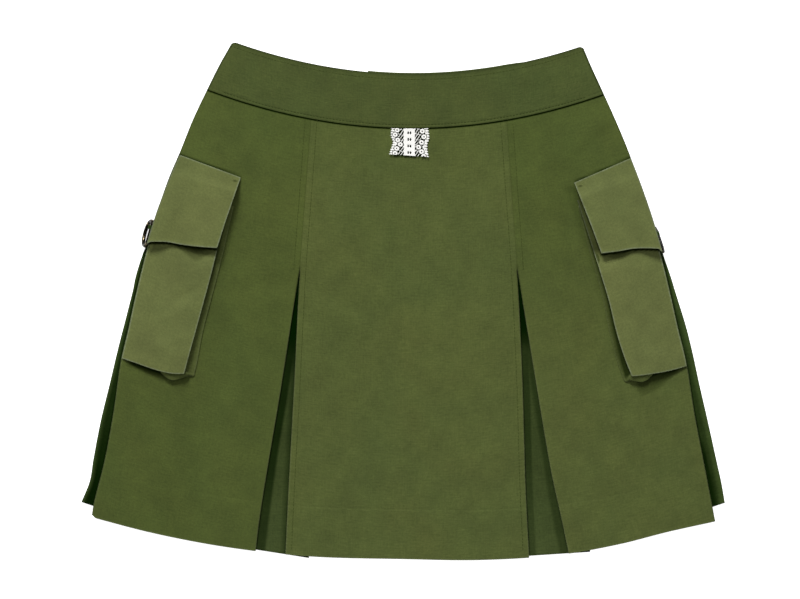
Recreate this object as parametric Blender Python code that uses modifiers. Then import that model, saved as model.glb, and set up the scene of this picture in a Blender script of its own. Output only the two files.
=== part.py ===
"""Cargo utility skirt, laid flat on its back.

A short A-line skirt of cotton twill: a shaped waistband, a centre front between two
inverted pleats, side fronts with bellows cargo pockets, an inverted pleat at each side,
a plain back in two halves, a D-ring in a narrow loop under each pocket flap and a
cotton lace tab at the centre of the waist seam.

Plan coordinates are in millimetres. "across" runs from the origin's line to the
wearer's left (+X). "down" runs from the top of the waistband towards the hem (-Y).
Heights run up from the surface that the skirt lies on (+Z). Every cloth piece is a
grid laid out by these functions, with a wall given by a Solidify modifier.
"""

import math
from typing import NamedTuple

import bmesh
import bpy
from mathutils import Matrix, Vector

# ------------------------------------------------------------------ driving sizes (mm)
MM = 0.001
HALF_LENGTH = 227.5          # origin to the top corners of the waistband
WALL = 1.1                   # one layer of twill
GAP = 0.35                   # air between layers that lie on each other
SEAM_GAP = 0.3               # butt gap at a seam
BLEND_LOSS = 2.0             # the pleat's slope and the side's slope merge this much lower
PITCH = WALL + GAP           # height of one layer on the next
BAND_WALL = 2.0              # waistband, two cloths
FLAP_WALL = 1.6              # pocket flap, two cloths
GUSSET_WALL = 1.0
LACE_WALL = 1.0
LOOP_WALL = 0.9

BACK_LEVEL = WALL / 2        # middle of the back panels
PLEAT_LEVEL = BACK_LEVEL + 3 * PITCH    # front over an inverted pleat
SIDE_LEVEL = BACK_LEVEL + 4 * PITCH     # front over the folded side pleat
OPEN_LEVEL = 2.3             # front where nothing but the back lies under it
WAIST_LEVEL = 3.2            # front along the waist seam
BAND_LEVEL = 3.45            # middle of the front waistband at its top edge
WAIST_SETTLE = 60.0          # distance in which the front settles below the seam
PLEAT_RUN = 110.0            # distance below the seam in which a pleat reaches its height
SIDE_RUN = 80.0              # the same for the side stack
PLEAT_SHARE = 0.25           # share of the pleat's height at the seam
SIDE_SHARE = 0.15

RETURN_WIDTH = 22.0          # cloth folded back behind each pleat edge
RETURN_MARGIN = 2.0
PLEAT_SLOPE = 40.0           # width of the soft slope beside a pleat
SIDE_SLOPE = 69.0            # width of the soft slope beside the side stack
FOLD_RADIUS = PITCH / 2
TURN_INSET = FOLD_RADIUS + WALL / 2    # centre of a fold inside the edge that it makes

CENTRE_LINE = 4.8            # the skirt's own middle, across
BACK_SEAM = 4.8
BACK_INSET = 2.0             # the back lies this far inside the front's outline
CLOSURE_END = -30.9          # end of the back waistband's overlap
BACK_PEEK = 1.3              # the overlap half stands this far above the front band

UNDERLAY_TOP = 190.0         # where a front pleat's underlay starts
SIDE_UNDERLAY_TOP = 130.0
SIDE_UNDERLAY_DEPTH = 24.0
SIDE_SAG = 1.25              # free edge of the side underlay sinks to the surface
HEM_CORNER = {"left": 5.0, "right": 0.8}
BAND_CORNER = 3.0
BAND_TURN = 1.6              # radius of the waistband's turn at each side
BAND_FOOT = 1.1              # level that the turned-down end reaches

FACE_INSET = 0.4             # outer edge of a pocket face inside the side fold
POCKET_RAISE = 6.0           # inner edge of a pocket face above its outer edge
MOUTH_SHARE = 0.85           # share of that height at the mouth
MOUTH_RUN = 40.0             # distance below the mouth in which it reaches its full height
GUSSET_FOLD = 0.75           # radius of a gusset's fold
GUSSET_INSET = 0.9           # a gusset hangs this far inside the face's edge
SEW_GAP = 0.3                # air between pieces that are sewn on each other
FLAP_ROOT = 0.24             # share of the flap in which it climbs onto the pocket

RING_WIDTH = 22.5            # middle of wire to middle of wire, along the bar
RING_DEPTH = 11.8
RING_WIRE = 2.4
RING_CORNER = 2.8
RING_CLEAR = 0.1             # the hanging ring ends this far above the surface
LOOP_WIDTH = 3.6
LOOP_REACH = 9.0             # root of the loop, inward from the bar
LOOP_SHIFT = 5.7             # the loop sits off the middle of the bar, towards the waist


# ------------------------------------------------------------------ tables of the cut
class Course(NamedTuple):
    """One course of an edge that both sides of the skirt have."""
    down: float
    left: float
    right: float


class Spot(NamedTuple):
    """One spot on a line that runs across the skirt."""
    across: float
    down: float


# outer edge of the front, from the waistband down the side seam and the side fold
SIDE_EDGE = (
    Course(0.0, 150.5, 156.9), Course(20.2, 161.9, 165.4), Course(41.4, 172.5, 175.1),
    Course(67.8, 185.0, 187.0), Course(94.2, 195.6, 198.0), Course(120.6, 206.8, 207.4),
    Course(147.0, 215.8, 216.4), Course(178.0, 224.5, 224.6), Course(203.0, 230.8, 231.2),
    Course(228.0, 236.7, 237.0), Course(250.0, 241.4, 241.9), Course(278.0, 247.9, 248.8),
    Course(326.0, 255.0, 256.6), Course(370.0, 263.2, 265.0), Course(406.0, 272.2, 271.9),
    Course(425.0, 275.4, 275.6),
)
# fold edges of the centre front
CENTRE_EDGE = (
    Course(66.0, 80.8, 91.0), Course(138.0, 86.2, 96.2), Course(201.0, 90.9, 100.7),
    Course(298.0, 95.8, 105.4), Course(394.0, 101.0, 108.3), Course(456.0, 103.9, 111.4),
)
# width that the open front pleats show, from the end of their seam to the hem
PLEAT_OPENING = (
    Course(201.0, 0.0, 0.0), Course(248.0, 5.1, 5.3), Course(309.0, 11.6, 12.7),
    Course(376.0, 19.2, 22.3), Course(420.0, 23.9, 30.0), Course(456.0, 26.7, 35.6),
)
# free fold of the side underlays
STRIP_EDGE = (
    Course(130.0, 207.0, 207.4), Course(165.0, 218.8, 219.6), Course(176.0, 224.4, 225.2),
    Course(183.0, 228.0, 228.0), Course(190.0, 230.5, 230.2), Course(197.0, 232.8, 232.7),
    Course(207.0, 235.6, 236.1), Course(218.0, 237.8, 239.4), Course(226.0, 239.8, 241.9),
    Course(248.0, 245.4, 248.7), Course(261.0, 248.8, 252.1), Course(279.0, 253.2, 256.3),
    Course(297.0, 257.4, 260.1), Course(332.0, 265.9, 268.1), Course(367.0, 272.6, 275.8),
    Course(386.0, 275.8, 280.0), Course(404.4, 283.2, 283.2),
)
HEM_LINE = (
    Spot(-276.0, 416.8), Spot(-221.0, 431.1), Spot(-157.5, 443.3), Spot(-84.0, 451.7),
    Spot(1.0, 454.2), Spot(68.0, 455.0), Spot(138.0, 450.4), Spot(191.0, 441.0),
    Spot(233.0, 430.3), Spot(276.0, 420.8),
)


class Arch(NamedTuple):
    """A shallow parabola across the skirt, lowest at its middle."""
    middle: float
    lowest: float
    rise: float


TOP_EDGE = Arch(9.7, 27.5, 0.001125)
WAIST_SEAM = Arch(7.9, 75.0, 0.001045)


class UnderlayHem(NamedTuple):
    """Straight hem of a front pleat underlay, between its two seams."""
    inner: float
    inner_down: float
    outer: float
    outer_down: float


UNDERLAY_HEM = {
    "left": UnderlayHem(82.7, 453.2, 150.0, 442.6),
    "right": UnderlayHem(88.5, 452.8, 164.6, 447.8),
}


class StripHem(NamedTuple):
    """Hem of a side underlay: its outer corner and how fast it drops inward."""
    corner_down: float
    slope: float
    slope_width: float


STRIP_HEM = {"left": StripHem(403.9, 0.33, 14.0), "right": StripHem(404.6, 0.33, 12.0)}


class Pocket(NamedTuple):
    """A pocket face: its mouth and bottom, on the outer and on the inner edge."""
    mouth_outer_down: float
    mouth_inner: float
    mouth_inner_down: float
    bottom_outer_down: float
    bottom_inner: float
    bottom_inner_down: float


POCKET = {
    "left": Pocket(117.0, 153.9, 137.4, 277.6, 192.6, 291.2),
    "right": Pocket(120.0, 153.3, 138.4, 284.2, 202.2, 291.8),
}


class Flap(NamedTuple):
    """A pocket flap: its four corners, across and down."""
    top_outer: float
    top_outer_down: float
    top_inner: float
    top_inner_down: float
    bottom_outer: float
    bottom_outer_down: float
    bottom_inner: float
    bottom_inner_down: float
    bow: float


FLAP = {
    "left": Flap(196.4, 98.4, 142.7, 118.4, 225.2, 174.3, 163.6, 179.0, 1.6),
    "right": Flap(200.6, 101.2, 150.7, 122.9, 227.8, 180.8, 174.6, 183.8, 1.2),
}


# height of a flap's free end above the pocket, from its outer to its inner side: it
# stands on the ring outside and sinks beside it
FLAP_SHARES = (0.0, 0.16, 0.36, 0.70, 1.0)
FLAP_LIFTS = (8.4, 6.6, 2.5, 2.3, 3.4)


class Station(NamedTuple):
    """One section of a gusset: where it hangs on the face, its fold and its base."""
    edge: str
    share: float
    fold: float
    base_left: float
    base_right: float


# fold and base are distances outward from the face's edge, negative inward
GUSSET = (
    Station("inner", 0.03, -6.0, 0.8, -0.6), Station("inner", 0.30, -7.0, 1.8, 0.2),
    Station("inner", 0.52, -7.0, 4.2, 3.8), Station("inner", 0.74, -6.5, 6.0, 5.4),
    Station("inner", 0.88, -4.5, 7.6, 6.4), Station("inner", 0.97, -1.2, 8.6, 6.8),
    Station("corner", 0.00, 3.0, 7.3, 6.2), Station("bottom", 0.12, 7.0, -1.0, -1.0),
    Station("bottom", 0.22, 4.4, -2.2, -2.2), Station("bottom", 0.34, 0.4, -2.4, -2.4),
    Station("bottom", 0.46, -3.4, -1.6, -1.6), Station("bottom", 0.58, -4.0, -1.0, -1.0),
)
# directions out of the face, as outward and down, in which the sections are laid
INNER_LEAD = Vector((-0.96, 0.27))
CORNER_LEAD = {"left": Vector((-0.97, 0.24)), "right": Vector((-0.72, 0.69))}
BOTTOM_LEAD = Vector((0.22, 0.975))


class Ring(NamedTuple):
    """A D-ring's straight bar: its middle, height and lean from the skirt's length."""
    across: float
    down: float
    height: float
    lean_deg: float


RING = {"left": Ring(223.0, 167.9, 12.0, 15.5), "right": Ring(225.2, 173.3, 13.05, 19.0)}


class Lace(NamedTuple):
    """The lace tab's lower corners and its width at the seam."""
    top_left: float
    top_right: float
    bottom_left: float
    bottom_left_down: float
    bottom_right: float
    bottom_right_down: float


LACE = Lace(-9.2, 21.6, -12.0, 98.0, 22.5, 100.4)

SIGN = {"left": -1.0, "right": 1.0}


# ------------------------------------------------------------------ colours
class Finish(NamedTuple):
    """A plain surface finish: linear base colour, roughness and metallic value."""
    colour: tuple
    roughness: float
    metallic: float


TWILL = Finish((0.080, 0.100, 0.030), 0.88, 0.0)
BAND_TWILL = Finish((0.072, 0.092, 0.027), 0.88, 0.0)
POCKET_CLOTH = Finish((0.128, 0.150, 0.048), 0.80, 0.0)
DEEP_TWILL = Finish((0.040, 0.056, 0.018), 0.90, 0.0)
LACE_COTTON = Finish((0.820, 0.800, 0.740), 0.85, 0.0)
DARK_BRONZE = Finish((0.110, 0.085, 0.060), 0.32, 1.0)


# ------------------------------------------------------------------ lines of the cut
def clamp01(value):
    """Keep a value between 0 and 1."""
    return min(1.0, max(0.0, value))


def ease(value):
    """Smooth step from 0 to 1."""
    value = clamp01(value)
    return value * value * (3.0 - 2.0 * value)


def mix(start, end, share):
    """Value at a share of the way from start to end."""
    return start + (end - start) * share


def smooth_table(keys, values, key):
    """Read a smooth curve through a short table, straight on beyond its ends."""
    last = len(keys) - 2
    index = 0
    while index < last and key > keys[index + 1]:
        index += 1
    span = keys[index + 1] - keys[index]
    share = (key - keys[index]) / span
    slopes = [(values[k + 1] - values[k]) / (keys[k + 1] - keys[k]) for k in range(last + 1)]
    start_slope = slopes[index] if index == 0 else (slopes[index - 1] + slopes[index]) / 2
    end_slope = slopes[index] if index == last else (slopes[index] + slopes[index + 1]) / 2
    if share <= 0.0:
        return values[index] + start_slope * (key - keys[index])
    if share >= 1.0:
        return values[index + 1] + end_slope * (key - keys[index + 1])
    square, cube = share * share, share ** 3
    return ((2 * cube - 3 * square + 1) * values[index]
            + (cube - 2 * square + share) * span * start_slope
            + (3 * square - 2 * cube) * values[index + 1]
            + (cube - square) * span * end_slope)


def edge_at(table, side, down):
    """Distance outward of an edge at a course, on one side."""
    return smooth_table([row.down for row in table], [getattr(row, side) for row in table], down)


def pleat_edge_at(side, down):
    """Distance outward of a side front's inner edge: seam above, open pleat below."""
    opening = 0.0
    if down > PLEAT_OPENING[0].down:
        opening = edge_at(PLEAT_OPENING, side, down)
    return edge_at(CENTRE_EDGE, side, down) + opening


def hem_at(across):
    """Course of the hem line."""
    return smooth_table([spot.across for spot in HEM_LINE], [spot.down for spot in HEM_LINE], across)


def arch_at(arch, across):
    """Course of an arched line."""
    return arch.lowest - arch.rise * (across - arch.middle) ** 2


def side_of(across):
    """Name of the side that a place lies on."""
    return "left" if across < CENTRE_LINE else "right"


def corner_cut(radius, from_edge):
    """How far a rounded corner cuts in, at a distance from the edge."""
    if radius <= 0.0 or from_edge >= radius:
        return 0.0
    reach = radius - max(0.0, from_edge)
    return radius - math.sqrt(max(0.0, radius * radius - reach * reach))


# ------------------------------------------------------------------ heights
def front_height(across, down):
    """Middle of the front layer above the surface."""
    side = side_of(across)
    outward = across * SIGN[side]
    below = down - arch_at(WAIST_SEAM, across)
    ground = mix(WAIST_LEVEL, OPEN_LEVEL, ease(below / WAIST_SETTLE))
    inner = edge_at(CENTRE_EDGE, side, down) - RETURN_WIDTH - RETURN_MARGIN
    outer = pleat_edge_at(side, down) + RETURN_WIDTH + RETURN_MARGIN
    away = max(inner - outward, outward - outer, 0.0)
    pleat = 1.0 - ease(away / PLEAT_SLOPE)
    stack_start = edge_at(SIDE_EDGE, side, down) - SIDE_UNDERLAY_DEPTH - RETURN_MARGIN - SIDE_SLOPE
    stack = ease((outward - stack_start) / SIDE_SLOPE)
    over_pleat = pleat * mix(PLEAT_SHARE, 1.0, ease(below / PLEAT_RUN)) * (PLEAT_LEVEL - ground)
    over_stack = stack * mix(SIDE_SHARE, 1.0, ease(below / SIDE_RUN)) * (SIDE_LEVEL - ground)
    return ground + max(over_pleat, over_stack, over_pleat + over_stack - BLEND_LOSS)


def band_height(across, down):
    """Middle of the front waistband: level on top, following the panels at the seam."""
    seam = arch_at(WAIST_SEAM, across)
    top = arch_at(TOP_EDGE, across)
    share = clamp01((down - top) / (seam - top))
    return BAND_LEVEL + (front_height(across, seam) - WAIST_LEVEL) * share


def pocket_inner(side, down):
    """Distance outward of a pocket face's inner edge."""
    pocket = POCKET[side]
    share = (down - pocket.mouth_inner_down) / (pocket.bottom_inner_down - pocket.mouth_inner_down)
    return mix(pocket.mouth_inner, pocket.bottom_inner, share)


def face_height(across, down):
    """Middle of a pocket face: flat on the side fold, raised towards its inner edge."""
    side = side_of(across)
    edge = edge_at(SIDE_EDGE, side, down)
    inward = clamp01((edge - across * SIGN[side]) / (edge - pocket_inner(side, down)))
    mouth = POCKET[side].mouth_inner_down
    fullness = mix(MOUTH_SHARE, 1.0, ease((down - mouth) / MOUTH_RUN))
    raised = POCKET_RAISE * (1.0 - (1.0 - inward) ** 2) * fullness
    return front_height((edge - FACE_INSET) * SIGN[side], down) + PITCH + raised


# ------------------------------------------------------------------ mesh helpers
def place(across, down, height):
    """Turn plan coordinates in millimetres into a point in metres."""
    return Vector((across * MM, (HALF_LENGTH - down) * MM, height * MM))


def make_material(name, finish):
    """Make a plain Principled material."""
    material = bpy.data.materials.new(name)
    material.use_nodes = True
    shader = material.node_tree.nodes["Principled BSDF"]
    shader.inputs["Base Color"].default_value = (*finish.colour, 1.0)
    shader.inputs["Roughness"].default_value = finish.roughness
    shader.inputs["Metallic"].default_value = finish.metallic
    material.diffuse_color = (*finish.colour, 1.0)
    return material


def lay_cloth(name, columns, rows, point_at, wall, finish, collection):
    """Lay a grid of cloth by a function of its shares and give it a wall.

    point_at takes a column number and a share down the piece. The grid's faces look
    up where the columns run towards +X.
    """
    mesh_data = bmesh.new()
    bmesh.ops.create_grid(mesh_data, x_segments=columns - 1, y_segments=rows - 1, size=0.5)
    for vertex in mesh_data.verts:
        column = round((vertex.co.x + 0.5) * (columns - 1))
        share = round((0.5 - vertex.co.y) * (rows - 1)) / (rows - 1)
        vertex.co = point_at(column, share)
    mesh = bpy.data.meshes.new(name)
    mesh_data.to_mesh(mesh)
    mesh_data.free()
    cloth = bpy.data.objects.new(name, mesh)
    collection.objects.link(cloth)
    solidify = cloth.modifiers.new("wall", "SOLIDIFY")
    solidify.thickness = wall * MM
    solidify.offset = 0.0
    solidify.use_even_offset = True
    solidify.use_quality_normals = True
    mesh.materials.append(make_material(name, finish))
    mesh.shade_smooth()
    mesh.set_sharp_from_angle(angle=math.radians(40))
    return cloth


class Column(NamedTuple):
    """One column of a panel: a share between its edges, a shift and a drop."""
    share: float
    shift: float
    drop: float


def fold_columns(width):
    """Columns round a fold and along its return, from the fold inward."""
    turn = [math.radians(angle) for angle in (60, 20, -20, -60)]
    columns = [Column(1.0, FOLD_RADIUS * math.cos(a) - TURN_INSET, FOLD_RADIUS * (1.0 - math.sin(a)))
               for a in turn]
    for share in (0.0, 0.5, 1.0):
        columns.append(Column(1.0, -mix(TURN_INSET, width, share), PITCH))
    return columns


def span_columns(shares, start_shift, end_shift):
    """Columns along the top of a panel between its two folds."""
    return [Column(share, mix(start_shift, end_shift, share), 0.0) for share in shares]


def mirrored(columns):
    """The same fold at the panel's inner edge."""
    return [Column(1.0 - c.share, -c.shift, c.drop) for c in reversed(columns)]


def lay_panel(name, columns, rows, edges, bottom_at, collection):
    """Lay a front panel whose columns follow its two edges, from the waist seam down.

    edges gives the signed across of the start and end edge at a course. Columns run
    towards +X.
    """
    def top_at(across):
        return arch_at(WAIST_SEAM, across) + SEAM_GAP

    def point_at(index, share):
        column = columns[index]
        down = mix(top_at(0.0), bottom_at(0.0), share)
        across = 0.0
        for _ in range(6):
            start, end = edges(down)
            across = mix(start, end, column.share) + column.shift
            down = mix(top_at(across), bottom_at(across), share)
        return place(across, down, front_height(across, down) - column.drop)

    return lay_cloth(name, len(columns), rows, point_at, WALL, TWILL, collection)


# ------------------------------------------------------------------ pieces
def build_centre_front(collection):
    """Centre front between the inverted pleats, both long edges folded back."""
    shares = [k / 12 for k in range(13)]
    fold = fold_columns(RETURN_WIDTH)
    columns = mirrored(fold) + span_columns(shares, TURN_INSET, -TURN_INSET) + fold

    def edges(down):
        left = edge_at(CENTRE_EDGE, "left", down) - SEAM_GAP / 2
        return -left, edge_at(CENTRE_EDGE, "right", down) - SEAM_GAP / 2

    return lay_panel("front_centre", columns, 15, edges, hem_at, collection)


def build_side_front(side, collection):
    """Side front, with the pleat fold on its inner edge and the side fold outside."""
    sign = SIGN[side]
    shares = [k / 12 for k in range(12)] + [0.955, 0.98, 1.0]    # closer beside the side fold
    fold = fold_columns(RETURN_WIDTH)
    columns = mirrored(fold) + span_columns(shares, TURN_INSET, -TURN_INSET) + fold
    if side == "left":
        columns = mirrored(columns)

    def edges(down):
        inner = sign * (pleat_edge_at(side, down) + SEAM_GAP / 2)
        outer = sign * edge_at(SIDE_EDGE, side, down)
        return (outer, inner) if side == "left" else (inner, outer)

    def bottom_at(across):
        hem = hem_at(across)
        from_edge = edge_at(SIDE_EDGE, side, hem) - across * sign
        return hem - corner_cut(HEM_CORNER[side], from_edge)

    return lay_panel("front_side_" + side, columns, 17, edges, bottom_at, collection)


def build_front_underlay(side, collection):
    """Underlay behind a front pleat, flat on the back, its hem a little longer."""
    sign = SIGN[side]
    hem = UNDERLAY_HEM[side]

    def point_at(index, share):
        across_share = index / 8
        if side == "left":
            across_share = 1.0 - across_share
        down_end = mix(hem.inner_down, hem.outer_down, across_share)
        down = mix(UNDERLAY_TOP, down_end, share)
        inner = edge_at(CENTRE_EDGE, side, down) - RETURN_WIDTH + 1.0
        outer = pleat_edge_at(side, down) + RETURN_WIDTH - 1.0
        start = mix(inner, hem.inner, ease(share))
        end = mix(outer, hem.outer, ease(share))
        across = mix(start, end, across_share)
        return place(sign * across, down, BACK_LEVEL + PITCH)

    return lay_cloth("front_underlay_" + side, 9, 10, point_at, WALL, DEEP_TWILL, collection)


def build_side_underlay(side, collection):
    """Side pleat underlay, folded in half with its fold standing out past the front."""
    sign = SIGN[side]
    hem = STRIP_HEM[side]
    lower = BACK_LEVEL + PITCH
    half_turn = [math.radians(angle) for angle in (-90, -50, -15, 15, 50, 90)]
    hidden = (-SIDE_UNDERLAY_DEPTH, -12.0, -2.5, 0.0)
    section = [(place_in, None) for place_in in hidden] + [(0.5, None)]
    section += [(None, angle) for angle in half_turn]
    section += list(reversed(section[:5]))
    middle = len(section) / 2

    def point_at(index, share):
        place_in, angle = section[index]
        down = mix(SIDE_UNDERLAY_TOP, hem.corner_down, share)
        outward = 0.0
        for _ in range(4):
            fold = edge_at(STRIP_EDGE, side, down)
            edge = min(edge_at(SIDE_EDGE, side, down), fold - 2.0)
            if angle is not None:
                outward = fold + FOLD_RADIUS * math.cos(angle) - TURN_INSET
            elif place_in > 0.0:
                outward = mix(edge, fold - TURN_INSET, place_in)
            else:
                outward = edge + place_in
            drop = hem.slope * min(hem.slope_width, edge_at(STRIP_EDGE, side, hem.corner_down) - outward)
            down = mix(SIDE_UNDERLAY_TOP, hem.corner_down + max(0.0, drop), share)
        turn = math.sin(angle) if angle is not None else (-1.0 if index < middle else 1.0)
        free = ease((outward - edge_at(SIDE_EDGE, side, down)) / 5.0)
        height = lower + FOLD_RADIUS * (1.0 + turn) - SIDE_SAG * free
        return place(sign * outward, down, height)

    return lay_cloth("side_underlay_" + side, len(section), 20, point_at, WALL, DEEP_TWILL, collection)


def build_back(side, collection):
    """Plain back panel, flat on the surface, from the centre-back seam to the side."""
    sign = SIGN[side]

    def point_at(index, share):
        across_share = index / 10
        if side == "left":
            across_share = 1.0 - across_share
        across = BACK_SEAM
        down = 200.0
        for _ in range(6):
            outer = edge_at(SIDE_EDGE, side, down) - BACK_INSET
            across = mix(BACK_SEAM + sign * SEAM_GAP / 2, sign * outer, across_share)
            top = arch_at(WAIST_SEAM, across) + SEAM_GAP
            hem = hem_at(across) - BACK_INSET
            hem -= corner_cut(HEM_CORNER[side], outer - across * sign)
            down = mix(top, hem, share)
        return place(across, down, BACK_LEVEL)

    return lay_cloth("back_" + side, 11, 13, point_at, WALL, TWILL, collection)


def build_front_band(collection):
    """Shaped front waistband, turned down at both sides."""
    shares = [k / 24 for k in range(25)]
    turn = [math.radians(angle) for angle in (60, 30, 0)]
    end = [Column(1.0, BAND_TURN * (math.cos(a) - 1.0), BAND_TURN * (1.0 - math.sin(a)))
           for a in turn]
    end.append(Column(1.0, 0.0, BAND_LEVEL))
    columns = mirrored(end) + span_columns(shares, BAND_TURN, -BAND_TURN) + end
    half_wall = BAND_WALL / 2

    def point_at(index, share):
        column = columns[index]
        across, down = 0.0, 50.0
        for _ in range(6):
            left = -edge_at(SIDE_EDGE, "left", down) + half_wall
            right = edge_at(SIDE_EDGE, "right", down) - half_wall
            across = mix(left, right, column.share) + column.shift
            nearest = min(across - left, right - across)
            top = arch_at(TOP_EDGE, across) + corner_cut(BAND_CORNER, nearest)
            down = mix(top, arch_at(WAIST_SEAM, across), share)
        return place(across, down, max(BAND_FOOT, band_height(across, down) - column.drop))

    return lay_cloth("waistband_front", len(columns), 6, point_at, BAND_WALL, BAND_TWILL, collection)


def build_back_band(side, collection):
    """One half of the back waistband. The overlap half stands just above the front."""
    sign = SIGN[side]
    closure = CLOSURE_END + (0.0 if side == "right" else -SEAM_GAP)
    clear = BAND_WALL + BAND_TURN / 2 + GAP

    def point_at(index, share):
        across_share = index / 16
        across, down = 0.0, 50.0
        for _ in range(6):
            outer = sign * (edge_at(SIDE_EDGE, side, down) - clear)
            start, end = (outer, closure) if side == "left" else (closure, outer)
            across = mix(start, end, across_share)
            top = arch_at(TOP_EDGE, across) + BACK_INSET
            if side == "right":
                tuck = ease((across - 90.0) / 45.0)
                top = arch_at(TOP_EDGE, across) + mix(-BACK_PEEK, BACK_INSET, tuck)
            down = mix(top, arch_at(WAIST_SEAM, across), share)
        return place(across, down, BAND_WALL / 2)

    return lay_cloth("waistband_back_" + side, 17, 4, point_at, BAND_WALL, BAND_TWILL, collection)


def face_point(side, inward, down_share):
    """Plan position on a pocket face: inward from the outer edge, down from the mouth."""
    pocket = POCKET[side]
    outer_down = mix(pocket.mouth_outer_down, pocket.bottom_outer_down, down_share)
    inner_down = mix(pocket.mouth_inner_down, pocket.bottom_inner_down, down_share)
    outer = edge_at(SIDE_EDGE, side, outer_down) - FACE_INSET
    inner = mix(pocket.mouth_inner, pocket.bottom_inner, down_share)
    return mix(outer, inner, inward), mix(outer_down, inner_down, inward)


def build_pocket_face(side, collection):
    """Pocket face, stitched flat on the side fold and raised towards the front."""
    sign = SIGN[side]

    def point_at(index, share):
        inward = index / 10
        if side == "right":
            inward = 1.0 - inward
        outward, down = face_point(side, inward, share)
        return place(sign * outward, down, face_height(sign * outward, down))

    return lay_cloth("pocket_face_" + side, 11, 12, point_at, WALL, POCKET_CLOTH, collection)


def build_gusset(side, collection):
    """Folded strip between a pocket face and the skirt, along two of its edges."""
    sign = SIGN[side]
    clear = WALL / 2 + SEW_GAP + GUSSET_WALL / 2
    sections = []
    for station in GUSSET:
        if station.edge == "inner":
            outward, down = face_point(side, 1.0, station.share)
            lead = INNER_LEAD
        elif station.edge == "corner":
            outward, down = face_point(side, 1.0, 1.0)
            lead = CORNER_LEAD[side]
        else:
            outward, down = face_point(side, 1.0 - station.share, 1.0)
            lead = BOTTOM_LEAD
        base = station.base_left if side == "left" else station.base_right
        sections.append((Vector((outward, down)), lead, station.fold, base))

    def point_at(index, share):
        edge, lead, fold, base = sections[round(share * (len(sections) - 1))]
        hang = edge - lead * GUSSET_INSET
        foot = edge + lead * base
        tip = edge + lead * fold
        top = face_height(sign * hang.x, hang.y) - clear
        bottom = front_height(sign * foot.x, foot.y) + clear
        middle = (top + bottom) / 2
        bulge = max(-1.0, min(1.0, (fold - (base - GUSSET_INSET) / 2) / 2.0))
        if index == 0:
            plan, height = hang, top
        elif index == 1:
            plan, height = (hang + tip) / 2, (top + middle + GUSSET_FOLD) / 2
        elif index <= 6:
            angle = math.radians(90 - 45 * (index - 2))
            plan = tip + lead * (bulge * GUSSET_FOLD * math.cos(angle))
            height = middle + GUSSET_FOLD * math.sin(angle)
        elif index == 7:
            plan, height = (foot + tip) / 2, (bottom + middle - GUSSET_FOLD) / 2
        else:
            plan, height = foot, bottom
        return place(sign * plan.x, plan.y, height)

    return lay_cloth("pocket_gusset_" + side, 9, len(sections), point_at, GUSSET_WALL,
                     POCKET_CLOTH, collection)


def build_flap(side, collection):
    """Pocket flap, sewn down above the mouth and standing clear at its free end."""
    sign = SIGN[side]
    flap = FLAP[side]

    def point_at(index, share):
        inward = index / 10
        if side == "right":
            inward = 1.0 - inward
        bow = flap.bow * 4.0 * share * (1.0 - share)
        outer = mix(flap.top_outer, flap.bottom_outer, share) + bow
        outer_down = mix(flap.top_outer_down, flap.bottom_outer_down, share)
        inner = mix(flap.top_inner, flap.bottom_inner, share)
        inner_down = mix(flap.top_inner_down, flap.bottom_inner_down, share)
        outward = mix(outer, inner, inward)
        down = mix(outer_down, inner_down, inward)
        rest = WALL / 2 + GAP + FLAP_WALL / 2
        on_skirt = front_height(sign * outward, down) + rest
        on_pocket = face_height(sign * outward, down) + rest
        lift = smooth_table(FLAP_SHARES, FLAP_LIFTS, inward) * share
        height = mix(on_skirt, on_pocket, ease(share / FLAP_ROOT)) + lift
        return place(sign * outward, down, height)

    return lay_cloth("pocket_flap_" + side, 11, 12, point_at, FLAP_WALL, POCKET_CLOTH, collection)


def ring_frame(side):
    """Bar middle, direction along the bar towards the waist and outward direction."""
    ring = RING[side]
    lean = math.radians(ring.lean_deg)
    middle = place(SIGN[side] * ring.across, ring.down, ring.height)
    along = Vector((-SIGN[side] * math.sin(lean), math.cos(lean), 0.0))
    outward = Vector((SIGN[side] * math.cos(lean), math.sin(lean), 0.0))
    return middle, along, outward


def ring_outline():
    """Middle line of the wire: bar, two round corners, short arms and the bow."""
    half = RING_WIDTH / 2
    points = []
    for centre, start in ((RING_CORNER - half, 180.0), (half - RING_CORNER, 270.0)):
        for step in range(4):
            angle = math.radians(start + 30.0 * step)
            points.append((centre + RING_CORNER * math.cos(angle),
                           RING_CORNER + RING_CORNER * math.sin(angle)))
    bow_depth = RING_DEPTH - RING_CORNER
    for step in range(1, 14):
        angle = math.pi * step / 14
        points.append((half * math.cos(angle), RING_CORNER + bow_depth * math.sin(angle) ** 0.8))
    return points


def build_ring(side, collection):
    """D-ring of round wire. Its object's origin is on the bar, with X along it."""
    ring = RING[side]
    middle, along, outward = ring_frame(side)
    tilt = math.asin((ring.height - RING_WIRE / 2 - RING_CLEAR) / RING_DEPTH)
    depth = outward * math.cos(tilt) - Vector((0.0, 0.0, 1.0)) * math.sin(tilt)
    normal = along.cross(depth)
    name = "d_ring_" + side
    curve = bpy.data.curves.new(name, "CURVE")
    curve.dimensions = "3D"
    curve.bevel_depth = RING_WIRE / 2 * MM
    curve.bevel_resolution = 2
    curve.resolution_u = 1
    outline = ring_outline()
    spline = curve.splines.new("POLY")
    spline.points.add(len(outline) - 1)
    for point, (x, y) in zip(spline.points, outline):
        point.co = (x * MM, y * MM, 0.0, 1.0)
    spline.use_cyclic_u = True
    ring_object = bpy.data.objects.new(name, curve)
    axes = Matrix((along, depth, normal)).transposed()
    ring_object.matrix_world = Matrix.Translation(middle) @ axes.to_4x4()
    collection.objects.link(ring_object)
    curve.materials.append(make_material(name, DARK_BRONZE))
    return ring_object


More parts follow.
